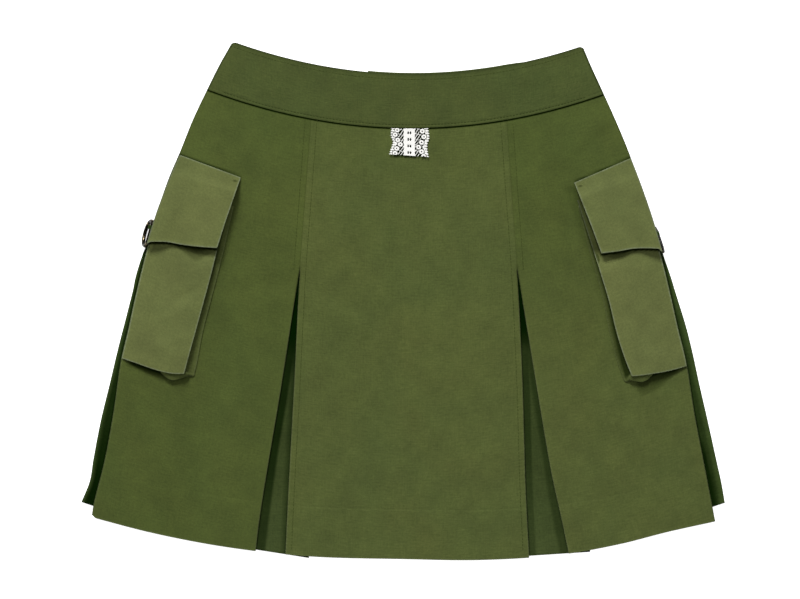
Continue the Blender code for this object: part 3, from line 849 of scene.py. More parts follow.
@dataclass(frozen=True)
class TwillFinish:
    """Woven cotton: base, olive and deep tone, weave, wearing and a painted highlight at edges, painted
    shade.
    """

    name: str
    colour: Colour
    olive: Colour
    deep: Colour
    worn: Colour
    rib: float = 0.00085
    rib_depth: float = 0.00007
    slub: float = 0.55
    mottle: float = 0.8
    wear: float = 0.5
    roughness: float = 0.86
    sheen: float = 0.06
    gloss: float = 0.20
    grain: float = 0.17
    cloud: float = 0.11
    # darkness of a painted outline along every edge
    outline: float = 0.35
    # tint of the painted shade, as shares of the deep tone
    gloom: Colour = (0.09, 0.16, 0.03)

    def make(self) -> Material:
        """Wire the cloth.

        Returns:
            The material.
        """
        n = Nodes(self.name)
        cloth = n.add("UVMap", uv_map="cloth").outputs["UV"]
        place = n.add("TexCoord").outputs["Object"]
        edge = n.add("Attribute", attribute_name="edge").outputs["Fac"]
        shade = n.add("Attribute", attribute_name="shade").outputs["Fac"]
        cast = n.add("Attribute", attribute_name="cast").outputs["Fac"]
        # fine diagonal ribs crossed by the weft
        split = n.add("SeparateXYZ")
        n.feed(split.inputs[0], cloth)
        across, along = split.outputs[0], split.outputs[1]
        turns = 2 * math.pi / self.rib
        jitter = n.math("MULTIPLY", n.noise(n.stretched(cloth, (900, 260, 1)), 1, 1), 2.4)
        rib = n.math("SINE", n.math("ADD", jitter, n.math(
            "ADD", n.math("MULTIPLY", across, turns), n.math("MULTIPLY", along, turns * 0.9))))
        weft = n.math("SINE", n.math("MULTIPLY", along, turns * 1.55))
        weave = n.math("ADD", n.math("MULTIPLY", rib, 0.62), n.math("MULTIPLY", weft, 0.38))
        # thick and thin yarns, along and across
        slub_weft = n.noise(n.stretched(cloth, (95, 1050, 1)), 1, 3, 0.6)
        slub_warp = n.noise(n.stretched(cloth, (1050, 80, 1)), 1, 3, 0.6)
        yarn = n.math("ADD", n.math("MULTIPLY", slub_weft, 0.62), n.math("MULTIPLY", slub_warp, 0.38))
        # broad drift of the dye
        drift = n.noise(place, 9, 3, 0.55)
        patch = n.noise(n.stretched(place, (26, 18, 26)), 1, 3, 0.6)
        dye = n.math("ADD", n.math("MULTIPLY", drift, 0.6), n.math("MULTIPLY", patch, 0.4))
        tone = n.blend(n.ramp(dye, 0.34, 0.66, 0, self.mottle), self.colour, self.olive)
        tone = n.blend(cast, tone, n.blend(1, tone, (0.80, 0.86, 0.654), "MULTIPLY"))
        tone = n.blend(n.ramp(yarn, 0.36, 0.62, self.slub, 0), tone, self.deep)
        tone = n.blend(n.ramp(weave, -1, 0.4, 0.16, 0), tone, self.deep)
        # lighter along the edges: wearing of the cloth, with a painted highlight where edges and folds catch
        # the light
        wear_and_highlight_mask = n.math("MULTIPLY", n.ramp(edge, 0.2, 1.5, self.wear, 0),
                     n.ramp(n.noise(cloth, 420, 2), 0.3, 0.65, 0.35, 1))
        tone = n.blend(wear_and_highlight_mask, tone, self.worn)
        # painted shade: the shade attribute and the painted outline darken the colour towards the tint
        shade = n.math("MAXIMUM", shade, n.ramp(edge, 0, 0.35, self.outline, 0))
        tone = n.blend(shade, tone, tuple(c * g for c, g in zip(self.deep, self.gloom)))
        # mottling of the dye, from single yarns to a hand's width
        grain = n.ramp(n.noise(cloth, 520, 4, 0.75), 0.30, 0.70, 1 - self.grain, 1 + self.grain)
        cloud = n.ramp(n.noise(place, 48, 4, 0.6), 0.30, 0.70, 1 - self.cloud, 1 + self.cloud)
        tone = n.result("HueSaturation", "Color", Value=n.math("MULTIPLY", grain, cloud), Color=tone)
        fuzz = n.math("MULTIPLY", n.noise(cloth, 2600, 2), 0.5)
        n.bump(n.math("ADD", n.math("MULTIPLY", weave, 0.5), n.math("ADD", yarn, fuzz)), 0.55, self.rib_depth)
        # where shade is painted, the gloss and the sheen fade with it
        lit = n.math("SUBTRACT", 1, shade)
        return n.finish(
            self.colour, Base_Color=tone,
            Roughness=n.ramp(yarn, 0.3, 0.7, self.roughness + 0.06, self.roughness - 0.06),
            Sheen_Weight=n.math("MULTIPLY", lit, self.sheen), Sheen_Roughness=0.5,
            Specular_IOR_Level=n.math("MULTIPLY", lit, self.gloss))


@dataclass(frozen=True)
class ThreadFinish:
    """Twisted sewing or lace thread."""

    name: str
    colour: Colour
    dark: Colour
    twist: float = 900.0
    roughness: float = 0.7
    sheen: float = 0.1
    gloss: float = 0.3

    def make(self) -> Material:
        """Wire the thread.

        Returns:
            The material.
        """
        n = Nodes(self.name)
        place = n.add("TexCoord").outputs["Object"]
        fibre = n.noise(n.stretched(place, (self.twist, self.twist * 2.2, self.twist), 0.7), 1, 2)
        drift = n.noise(place, 60, 2)
        tone = n.blend(n.ramp(fibre, 0.35, 0.65, 0.55, 0), self.colour, self.dark)
        tone = n.blend(n.ramp(drift, 0.35, 0.7, 0, 0.25), tone, self.dark)
        n.bump(fibre, 0.5, 0.00008)
        return n.finish(
            self.colour, Base_Color=tone,
            Roughness=n.ramp(fibre, 0.3, 0.7, self.roughness + 0.1, self.roughness - 0.08),
            Sheen_Weight=self.sheen, Specular_IOR_Level=self.gloss)


@dataclass(frozen=True)
class BronzeFinish:
    """Aged metal wire: dark patina, with bright spots of bare metal that also paint highlights."""

    name: str
    patina: Colour
    rubbed: Colour
    roughness: float = 0.3
    rub_start: float = 0.51

    def make(self) -> Material:
        """Wire the metal.

        Returns:
            The material.
        """
        n = Nodes(self.name)
        place = n.add("TexCoord").outputs["Object"]
        # bright spots of bare metal, which also paint highlights
        wear_and_highlight_mask = n.noise(place, 260, 2, 0.5)
        fine = n.noise(n.stretched(place, (2200, 700, 2200)), 1, 2)
        tone = n.blend(n.ramp(wear_and_highlight_mask, self.rub_start, self.rub_start + 0.12, 0, 0.85), self.patina, self.rubbed)
        uneven = n.math("ADD", n.math("MULTIPLY", wear_and_highlight_mask, 0.6), n.math("MULTIPLY", fine, 0.4))
        n.bump(fine, 0.2, 0.00005)
        return n.finish(self.patina, Base_Color=tone, Metallic=1,
                        Roughness=n.ramp(uneven, 0.3, 0.7, self.roughness + 0.14, self.roughness - 0.1))


BODY_TWILL = TwillFinish(
    "body_twill", (0.083, 0.108, 0.0265), (0.102, 0.118, 0.0283), (0.049, 0.068, 0.0141),
    (0.141, 0.167, 0.062))
BAND_TWILL = TwillFinish(
    "waistband_twill", (0.0646, 0.0884, 0.0208), (0.080, 0.0935, 0.0208), (0.039, 0.058, 0.0125),
    (0.110, 0.132, 0.054))
POCKET_CLOTH = TwillFinish(
    "pocket_cloth", (0.115, 0.1375, 0.040), (0.134, 0.148, 0.0435), (0.080, 0.101, 0.028),
    (0.225, 0.262, 0.165), rib=0.00065, rib_depth=0.00004, slub=0.30, mottle=0.8, wear=0.75, roughness=0.8,
    gloom=(0.08, 0.10, 0.03))
# darker, greener copy of the body twill for the pleats' underlays: painted shade
SHADED_PLEAT_TWILL = TwillFinish(
    "shaded_pleat_twill", (0.056, 0.081, 0.0225), (0.065, 0.085, 0.0225), (0.030, 0.046, 0.012),
    (0.0765, 0.100, 0.034), wear=0.3, roughness=0.9, gloss=0.10, gloom=(0.06, 0.20, 0.05))
# darker copy of the body twill for the side underlays and the ring loops: painted shade
SHADED_STRIP_TWILL = TwillFinish(
    "shaded_strip_twill", (0.045, 0.074, 0.020), (0.055, 0.080, 0.021), (0.028, 0.048, 0.011), (0.075, 0.098, 0.050),
    wear=0.5, roughness=0.9, sheen=0, gloss=0.02, gloom=(0.03, 0.16, 0))
# the thread colours are partly the thread's own and partly painted shade of the needle holes along the
# stitching
SEWING_THREAD = ThreadFinish(
    "sewing_thread", (0.058, 0.080, 0.018), (0.036, 0.050, 0.011), sheen=0, gloss=0.05)
SEAM_THREAD = ThreadFinish("seam_thread", (0.030, 0.045, 0.008), (0.018, 0.028, 0.005), sheen=0, gloss=0.05)
LACE_COTTON = ThreadFinish("lace_cotton", (0.97, 0.965, 0.93), (0.88, 0.87, 0.82), 700, 0.82, 0.15)
# the left ring's bronze: more bright spots, partly painted highlights
RUBBED_LIT_BRONZE = BronzeFinish("rubbed_lit_bronze", (0.012, 0.010, 0.006), (0.42, 0.34, 0.21), 0.36, 0.55)
# darker copy of the bronze for the right ring: painted shade
SHADED_BRONZE = BronzeFinish("dark_bronze", (0.010, 0.009, 0.005), (0.20, 0.16, 0.10), 0.45, 0.62)
FINISHES = (
    BODY_TWILL, BAND_TWILL, POCKET_CLOTH, SHADED_PLEAT_TWILL, SHADED_STRIP_TWILL, SEWING_THREAD, SEAM_THREAD, LACE_COTTON,
    RUBBED_LIT_BRONZE, SHADED_BRONZE)


@dataclass
class Wardrobe:
    """The materials of the skirt, each made once."""

    body: Material
    band: Material
    pocket: Material
    # deep: the pleats' underlays, a darker copy of the body twill for painted shade
    deep: Material
    # strip: the side underlays and ring loops, a darker copy of the body twill for painted shade
    strip: Material
    thread: Material
    seam_thread: Material
    lace: Material
    bronze: Material
    dark_bronze: Material

    @classmethod
    def make(cls) -> "Wardrobe":
        """Make every material, in the order of the fields."""
        return cls(*(finish.make() for finish in FINISHES))


# ---- panels ----
# each row: from across, down, to across, down, width, rise and bend
FRONT_RELIEF = Relief(0.16, 42, 3, (
    (-130, 213, -104, 211, 8, -0.45), (-132, 232, -100, 228, 9, 0.35),
    (-84, 211, -38, 234, 8, -0.50, 2), (-80, 231, -30, 251, 9, 0.30),
    (30, 104, 8, 180, 13, -0.35, 4), (8, 185, 10, 280, 18, -0.28),
    (-62, 108, -48, 190, 16, 0.30, -4), (52, 138, 92, 212, 8, -0.42, 3),
    (70, 98, 66, 150, 12, 0.30), (68, 243, 100, 252, 10, 0.48),
    (60, 272, 98, 284, 10, -0.26), (-96, 190, -22, 150, 10, 0.28, 3),
    (190, 62, 142, 104, 6.5, 0.50, 2), (172, 66, 126, 104, 6, 0.36, 2),
    (182, 76, 150, 102, 5, -0.36), (-112, 62, -122, 140, 9, 0.30, -3),
    (-128, 70, -134, 132, 7, -0.28), (-180, 60, -150, 100, 9, 0.34, -2),
    (-150, 330, -140, 420, 16, 0.26, 3), (150, 300, 168, 400, 17, 0.28, -3),
    (-30, 330, -22, 450, 18, 0.22, 4), (60, 350, 54, 450, 15, 0.24, -3),
    (-228, 320, -236, 410, 11, 0.26), (146, 200, 152, 262, 14, -0.25),
    (-140, 178, -146, 240, 12, -0.25),
))

BACK_RELIEF = Relief(0.05, 45, 11, (
    (-60, 120, -90, 230, 9, 0.24, 4), (70, 140, 120, 260, 10, 0.24, -5),
    (-150, 300, -120, 420, 12, 0.22, 4), (40, 320, 60, 430, 11, 0.22, -3),
    (-30, 300, 10, 330, 9, 0.2),
))

BAND_RELIEF = Relief(0.10, 30, 5, (
    (-120, 40, -60, 52, 7, 0.22, 2), (90, 38, 140, 26, 7, 0.20, -2),
    (-20, 44, 60, 46, 9, -0.16), (-152, 20, -140, 50, 6, 0.22),
))


@dataclass(frozen=True)
class Columns:
    """Columns of a panel: a share between its edges, a shift outward and a drop."""

    share: Array
    shift: Array
    drop: Array

    def mirrored(self) -> "Columns":
        """The same columns at the panel's other edge."""
        return Columns(1 - self.share[::-1], -self.shift[::-1], self.drop[::-1])

    def then(self, other: "Columns") -> "Columns":
        """These columns followed by others."""
        return Columns(*(np.concatenate((getattr(self, part.name), getattr(other, part.name)))
                         for part in fields(self)))

    def over(self, rows: Sequence[float]) -> list[Array]:
        """Row values, shares, shifts and drops over a grid of these columns."""
        return grid(rows, self.share, self.shift, self.drop)


@dataclass
class FrontPanels:
    """Centre front and side fronts, whose long edges are folded back in pleats."""

    wardrobe: Wardrobe
    step: float = 2.2
    hem_depth: float = 44.0
    hem_rise: float = 0.12
    stitch_inset: float = 5.3
    sewn_overlap: float = 0.72
    seam_end: float = 203.0
    release: float = 194.0
    open_start: float = 205.0
    open_run: float = 30.0
    hem_corners: Place = HEM_CORNERS
    pocket_outer: float = 248.0
    lace_middle: float = 5.63

    def sewn_reach(self, down: Array) -> Array:
        """How far a panel's edge reaches past its seam: sewn above, a free fold below."""
        return mix(self.sewn_overlap, -SEAM_GAP / 2, ease((down - self.release) / 8))

    def surface(self, across: Array, down: Array) -> Array:
        """Middle of the front cloth.

        Args:
            across: Places across the skirt.
            down: Their courses.

        Returns:
            Height, with the creases and the ridge of the hem.
        """
        hem_line = CUT.hem(across) - self.hem_depth
        hem = self.hem_rise * ease((down - hem_line) / 1.6)
        notch = -0.08 * hump(down - hem_line, 0.9)
        return CUT.front_height(across, down) + FRONT_RELIEF.at(across, down) + hem + notch

    def covered(self, across: Array, down: Array) -> Array:
        """Painted shadow on the cloth around the pockets, the flaps and the lace.

        Args:
            across: Places across the skirt.
            down: Their courses.

        Returns:
            Darkness from 0 to 1.
        """
        x, y = across - self.lace_middle, down - CUT.waist_seam.at(across)
        # painted shadow under the lace tab
        lace = ease((14.6 - np.abs(x)) / 1.2) * ease(y + 0.5) * fall(y, 24.6, 1.4)
        dark = [0.93 * lace]
        for side in Side:
            dark += [self._by_pocket(side, across * side.sign, down),
                     self._above_flap(side, across * side.sign, down)]
        return np.maximum.reduce(dark)

    def _by_pocket(self, side: Side, outward: Array, down: Array) -> Array:
        """Painted shade below a pocket's lower edge and beside its inner edge.

        Args:
            side: Side of the pocket.
            outward: Distances outward.
            down: Their courses.

        Returns:
            Darkness from 0 to 1.
        """
        pocket = CUT.pocket(side)
        from_inner = outward - pocket.bottom_inner
        share = np.clip(from_inner / (self.pocket_outer - pocket.bottom_inner), 0, 1)
        edge = mix(pocket.bottom_inner_down, pocket.bottom_outer_down, share)
        below = down - (edge + CUT.face_sag.at(side, 1 - share))
        within = ease((from_inner + 4) / 6) * fall(share, 0.80, 0.20)
        dark = within * hump(below - 0.7, side.pick(3.3, 2.6))
        beside = np.clip(pocket.drop_share(down), -0.1, 1)
        rim = mix(pocket.mouth_inner, pocket.bottom_inner, beside)
        inward = rim - CUT.face_bow.at(side, np.clip(beside, 0, 1)) - outward
        if side is Side.LEFT:
            soft = fall(inward, 5.5, 4, 0.14)
        else:
            length = smooth_table((0, 0.15, 0.35, 0.52, 0.71, 0.88, 1), (6, 18, 17, 14, 8, 4, 1), share)
            pool = smooth_table((0, 0.15, 0.35, 0.6, 0.85, 1), (0.75, 0.62, 0.55, 0.46, 0.32, 0),
                                np.clip(below / length, 0, 1))
            dark = np.maximum(dark, pool * ease(from_inner / 6) * ease((below + 3) / 2))
            soft = np.maximum(fall(inward, 2, 9, 0.22), fall(inward, 0, 2.5, 0.35))
        soft = soft * ease((down - CUT.flap(side).top_inner_down) / 6) * fall(below, -4, 10)
        return np.maximum(dark, soft)

    @staticmethod
    def _above_flap(side: Side, outward: Array, down: Array) -> Array:
        """Painted shade: a dark line along the seam of a flap.

        Args:
            side: Side of the flap.
            outward: Distances outward.
            down: Their courses.

        Returns:
            Darkness from 0 to 1.
        """
        flap = CUT.flap(side)
        share = (outward - flap.top_inner) / (flap.top_outer - flap.top_inner)
        above = mix(flap.top_inner_down, flap.top_outer_down, np.clip(share, 0, 1)) - down
        return 0.95 * ease((share + 0.01) / 0.03) * hump(above, 1.35)

    def build(self) -> list[Piece]:
        """Build the three panels."""
        return [self._centre(), self._side(Side.LEFT), self._side(Side.RIGHT)]

    def _columns(self, width: float) -> Columns:
        """Columns of a panel with a folded return at both sides.

        Args:
            width: Width of the panel between its folds.

        Returns:
            The columns, closer beside the folds.
        """
        radius = PITCH / 2
        inset = radius + WALL / 2
        angles = np.radians(np.linspace(90, -90, 11)[1:-1])
        shift = list(radius * np.cos(angles) - inset)
        drop = list(radius * (1 - np.sin(angles)))
        back = [-value for value in spread(inset, CUT.return_width, 3.4)]
        shift += back
        drop += [PITCH] * len(back)
        fold = Columns(np.ones(len(shift)), np.array(shift), np.array(drop))
        near = [inset, 2, 3, 4.2, 4.9, 5.7, 6.6, 8, 10, 12]
        inner = spread(0, 1, self.step / (width - 2 * near[-1]))[1:-1]
        share = [0] * len(near) + inner + [1] * len(near)
        shift = near + [mix(near[-1], -near[-1], s) for s in inner] + [-s for s in reversed(near)]
        top = Columns(np.array(share), np.array(shift), np.zeros(len(share)))
        return fold.mirrored().then(top).then(fold)

    def _lay(self, name: str, columns: Columns, edges: Callable[[Array], tuple[Array, Array]],
             bottom: Callable[[Array], Array], rows: Sequence[float],
             cast: Callable[[Array], Array]) -> Piece:
        """Lay a panel whose columns follow its two edges, from the waist seam down.

        Args:
            name: Name of the piece.
            columns: Its columns towards +X.
            edges: Gives the across of the start and the end edge at a course.
            bottom: Gives the hem's course at an across.
            rows: Shares down the panel.
            cast: Gives the share of the darker, greener tone at a course.

        Returns:
            The panel.
        """
        share, place, shift, drop = columns.over(rows)
        down = mix(CUT.waist_seam.at(0) + SEAM_TOUCH, bottom(np.zeros_like(share)), share)
        for _ in range(ROUNDS):
            start, end = edges(down)
            across = mix(start, end, place) + shift
            down = mix(CUT.waist_seam.at(across) + SEAM_TOUCH, bottom(across), share)
        height = self.surface(across, down) - drop
        fold = np.clip(drop / PITCH, 0, 1)
        opening = ease((down - self.open_start) / self.open_run)
        points = np.dstack((across, down, height))
        along = run_lengths(points, 1)
        turns = [int(np.argmin(np.abs(columns.drop - PITCH / 2) + 99 * other_half))
                 for other_half in (columns.share > 0.5, columns.share < 0.5)]
        edge = np.minimum(np.abs(along - along[:, turns[:1]]), np.abs(along - along[:, turns[1:]]))
        # the edge marks (wearing, painted highlight, painted outline) reach the pleat folds only where the
        # pleat opens
        edge = np.minimum(edge + BEYOND_EDGE_MARKS * (1 - opening), edge_distance(points, start=False, end=False))
        # painted shade: a dark line under the waist seam, along the sewn pleat seams, on the turned folds and
        # at the side folds, with the painted shadows round the pockets, flaps and lace
        seam = fall(down - CUT.waist_seam.at(across), 0.7, 1)
        sewn = hump(np.minimum(np.abs(across - start), np.abs(across - end)), 0.8) * (1 - opening)
        turned = 0.9 * ease((fold - 0.42) / 0.30)
        rim = np.where(np.abs(across) > 160, 0.45 * ease(fold / 0.12), 0)
        shade = np.maximum.reduce([turned, rim, seam, 0.75 * sewn, self.covered(across, down)])
        return Sheet(name, points, WALL, edge=edge, shade=shade, cast=cast(down)).dressed(self.wardrobe.body)

    def _rows(self, length: float) -> list[float]:
        """Shares down a panel, closer at the seam, at the hem's line and at its edge.

        Args:
            length: Length of the panel.

        Returns:
            The shares.
        """
        hem_line = 1 - self.hem_depth / length
        near = 0.8 / length
        return join_places(
            spread(0, 1, self.step / length),
            [0.4 / length, 0.8 / length, 1.2 / length, 1.7 / length, 1 - 0.6 / length],
            [hem_line + near * k + 0.11 * near for k in range(-3, 5)])

    def _centre(self) -> Piece:
        """Centre front between the inverted pleats.

        Returns:
            The panel.
        """
        def edges(down: Array) -> tuple[Array, Array]:
            """Across of the left and the right fold."""
            return (-CUT.centre_edge.at(Side.LEFT, down) - self.sewn_reach(down),
                    CUT.centre_edge.at(Side.RIGHT, down) + self.sewn_reach(down))

        panel = self._lay("front_centre", self._columns(195), edges, CUT.hem, self._rows(379),
                          lambda down: 0.25 * ease(1 - (down - 75) / 60))
        return panel

    def _side(self, side: Side) -> Piece:
        """Side front, with the pleat fold on its inner edge and the side fold outside.

        Args:
            side: Side of the skirt.

        Returns:
            The panel.
        """
        def edges(down: Array) -> tuple[Array, Array]:
            """Across of the two folds, towards +X."""
            inner, outer = CUT.pleat_edge(side, down) - self.sewn_reach(down), CUT.side_edge.at(side, down)
            return side.pick((-outer, -inner), (inner, outer))

        def bottom(across: Array) -> Array:
            """Course of the hem, cut round at the side fold."""
            from_edge = CUT.side_edge.at(side, CUT.hem(across)) - across * side.sign
            return CUT.hem(across) - corner_cut(side.pick(*self.hem_corners), from_edge)

        def cast(down: Array) -> Array:
            """Share of the darker cast: all the left side, the right one fading downwards."""
            return side.pick(np.full_like(down, 0.95), 1.05 * ease(1 - (down - 90) / 260))

        panel = self._lay(
            "front_side_" + side.value, self._columns(150), edges, bottom, self._rows(370), cast)
        return panel

    def sew(self, stitches: Stitches) -> None:
        """Edge-stitch the panels: inside each pleat to the hem, outside it to the seam's end.

        Args:
            stitches: Where the stitches go.
        """
        for side in Side:
            courses = np.array(spread(float(CUT.waist_seam.at(side.sign * 90)) + 2, 448, 3))
            upper = courses[courses < self.seam_end]
            for down, inset in ((courses, -self.stitch_inset), (upper, self.stitch_inset)):
                across = side.sign * (CUT.centre_edge.at(side, down) + inset)
                stitches.run(np.column_stack((across, down, self.surface(across, down) + WALL / 2)))


@dataclass
class Underlays:
    """Cloth in the depth of the pleats: two front underlays and two folded side ones."""

    wardrobe: Wardrobe
    top_down: float = 190.0
    side_top_down: float = 130.0
    side_sag: float = 1.25
    hem_slope: float = 0.33
    free_width: float = 5.0
    bulge: float = 0.75
    # inner and outer end of the hem, left and right: outward and course of each
    hem_ends: tuple[tuple[float, ...], ...] = ((82.7, 453.2, 150, 442.6), (88.5, 452.8, 164.6, 447.8))
    # course of the side underlay's hem at its corner and width of its slope, left and right
    side_hems: tuple[Place, Place] = ((403.9, 14), (404.6, 12))

    def build(self) -> list[Piece]:
        """Build the four underlays."""
        return [make(side) for side in Side for make in (self._front, self._side)]

    def _front(self, side: Side) -> Piece:
        """Underlay behind a front pleat, lifted a little where the pleat opens.

        Args:
            side: Side of the skirt.

        Returns:
            The underlay.
        """
        inner_hem, inner_down, outer_hem, outer_down = side.pick(*self.hem_ends)
        share, place = grid(spread(0, 1, 2.6 / 260), spread(0, 1, 1 / 72))
        outward_share = side.pick(1 - place, place)
        down = mix(self.top_down, mix(inner_down, outer_down, outward_share), share)
        inner = CUT.centre_edge.at(side, down) - CUT.return_width + 1
        outer = CUT.pleat_edge(side, down) + CUT.return_width - 1
        outward = mix(mix(inner, inner_hem, ease(share)), mix(outer, outer_hem, ease(share)), outward_share)
        seen_inner = CUT.centre_edge.at(side, down)
        seen_outer = CUT.pleat_edge(side, down)
        seen = np.clip((outward - seen_inner) / np.maximum(seen_outer - seen_inner, 1), 0, 1)
        bulge = self.bulge * ease((down - 240) / 150) * np.sin(math.pi * seen) ** 1.5
        inside, outside, low = outward - seen_inner, seen_outer - outward, ease((down - 345) / 90)
        # painted shade in the open pleat: dark bands along both folds, a dark line at its edges and near
        # black towards its top
        if side is Side.LEFT:
            shade = np.maximum(
                fall(outside, mix(5.3, 6.8, low), 3, mix(0.83, 0.66, low)), fall(inside, 1, 5, 0.45))
        else:
            shade = np.maximum(
                fall(inside, 5.2, 1.6, mix(0.52, 0.36, low)), fall(outside, mix(2.6, 5.6, low), 4, 0.47))
        # painted shade that deepens towards the top of the opening
        deep = 0.34 * (1 - np.clip((down - 345) / 95, 0, 1))
        shade = np.maximum.reduce([
            shade + deep * (1 - shade), fall(np.minimum(inside, outside), 0.2, 1.4, 0.75),
            fall(down, side.pick(255, 248), side.pick(95, 62))])
        points = np.dstack((side.sign * outward, down, BACK_LEVEL + PITCH + bulge))
        # the deep cloth is a darker, greener copy of the body twill: painted shade
        cloth = Sheet("front_underlay_" + side.value, points, WALL, shade=shade,
                      edge=edge_distance(points)).dressed(self.wardrobe.deep)
        return cloth

    def _side(self, side: Side) -> Piece:
        """Side underlay, folded in half with its fold standing out past the front.

        Its columns run from the lower layer round the fold to the upper one. Hidden ones
        keep their distance from the side fold, seen ones their share of the seen width.

        Args:
            side: Side of the skirt.

        Returns:
            The underlay.
        """
        corner_down, slope_width = side.pick(*self.side_hems)
        radius, inset = PITCH / 2, PITCH / 2 + WALL / 2
        hidden = [-value for value in spread(CUT.underlay_depth, 0, 3)]
        angles = list(np.radians(np.linspace(-90, 90, 13)))
        places = hidden + [0.2, 0.4, 0.6, 0.8]
        kinds = [0] * len(hidden) + [1] * 4 + [2] * len(angles) + [1] * 4 + [0] * len(hidden)
        layers = [-1] * len(places) + [0] * len(angles) + [1] * len(places)
        share, value, kind, layer = grid(spread(0, 1, 2 / 275), places + angles + places[::-1], kinds, layers)
        turn = np.where(kind == 2, np.sin(value), layer)
        down = mix(self.side_top_down, corner_down, share)
        end_fold = float(CUT.strip_edge.at(side, corner_down))
        for _ in range(ROUNDS):
            fold = CUT.strip_edge.at(side, down)
            edge = np.minimum(CUT.side_edge.at(side, down), fold - 2)
            outward = np.where(kind == 2, fold + radius * np.cos(value) - inset,
                               np.where(kind == 1, mix(edge, fold - inset, value), edge + value))
            slope = self.hem_slope * np.minimum(slope_width, end_fold - outward)
            bottom = corner_down + np.maximum(0, slope)
            down = mix(self.side_top_down, bottom, share)
        inside, low = outward - CUT.side_edge.at(side, down), ease((down - 330) / 60)
        above = bottom - down
        ridge = 0.30 * hump(above - 1.6, 1) + 0.34 * hump(above - 7, 1.1)
        height = (BACK_LEVEL + PITCH + radius * (1 + turn) - self.side_sag * ease(inside / self.free_width)
                  + ridge * (turn > -0.5))
        # painted shade: the side underlay darkens away from its outer fold and beside the side fold, more so
        # low down
        rim = CUT.strip_edge.at(side, down) - outward
        if side is Side.LEFT:
            shade = np.maximum(
                mix(0.22, mix(0.82, 0.95, low), ease((rim - 0.6) / 3.6)), fall(inside, 0, 4, 0.95))
        else:
            shade = np.maximum(mix(0.55, 0.60, low) * ease((rim - 2.2) / 4),
                               fall(inside, mix(0, 3, low), mix(3, 5, low), 0.90))
        points = np.dstack((side.sign * outward, down, height))
        cloth = Sheet("side_underlay_" + side.value, points, WALL, shade=shade,
                      edge=edge_distance(points, start=False, end=False)).dressed(self.wardrobe.strip)
        return cloth


@dataclass
class BackPanels:
    """Plain back in two halves, joined by the centre-back seam."""

    wardrobe: Wardrobe
    seam: float = 4.8
    inset: float = 2.0
    step: float = 3.4
    lift: float = 0.26
    stitch_inset: float = 5.0
    stitch_level: float = 0.06

    def build(self) -> list[Piece]:
        """Build the two halves."""
        return [self._half(side) for side in Side]

    def _half(self, side: Side) -> Piece:
        """One half of the back, flat on the surface.

        Args:
            side: Side of the skirt.

        Returns:
            The panel.
        """
        sign = side.sign
        near = [0.004, 0.012]
        columns = join_places(spread(0, 1, self.step / 250), near, [1 - value for value in near])
        share, place = grid(join_places(spread(0, 1, self.step / 375), [0.002, 0.998]), columns)
        outward_share = side.pick(1 - place, place)
        down = np.full_like(share, 200)
        for _ in range(ROUNDS):
            outer = CUT.side_edge.at(side, down) - self.inset
            across = mix(self.seam + sign * SEAM_GAP / 2, sign * outer, outward_share)
            corner = corner_cut(side.pick(*HEM_CORNERS), outer - across * sign)
            down = mix(CUT.waist_seam.at(across) + SEAM_TOUCH, CUT.hem(across) - self.inset - corner, share)
        lift = np.clip(BACK_RELIEF.at(across, down), 0, self.lift)
        inside = ease((CUT.hem(across) - self.inset - down) / 20)
        panel = Sheet("back_" + side.value, np.dstack((across, down, BACK_LEVEL + lift * inside)),
                      WALL).dressed(self.wardrobe.body)
        return panel

    def sew(self, stitches: Stitches) -> None:
        """Stitch both sides of the centre-back seam on the under side.

        Args:
            stitches: Where the stitches go.
        """
        courses = np.array(spread(78, 446, 3))
        for side in Side:
            across = np.full_like(courses, self.seam + side.sign * self.stitch_inset)
            stitches.run(np.column_stack((across, courses, np.full_like(courses, self.stitch_level))))


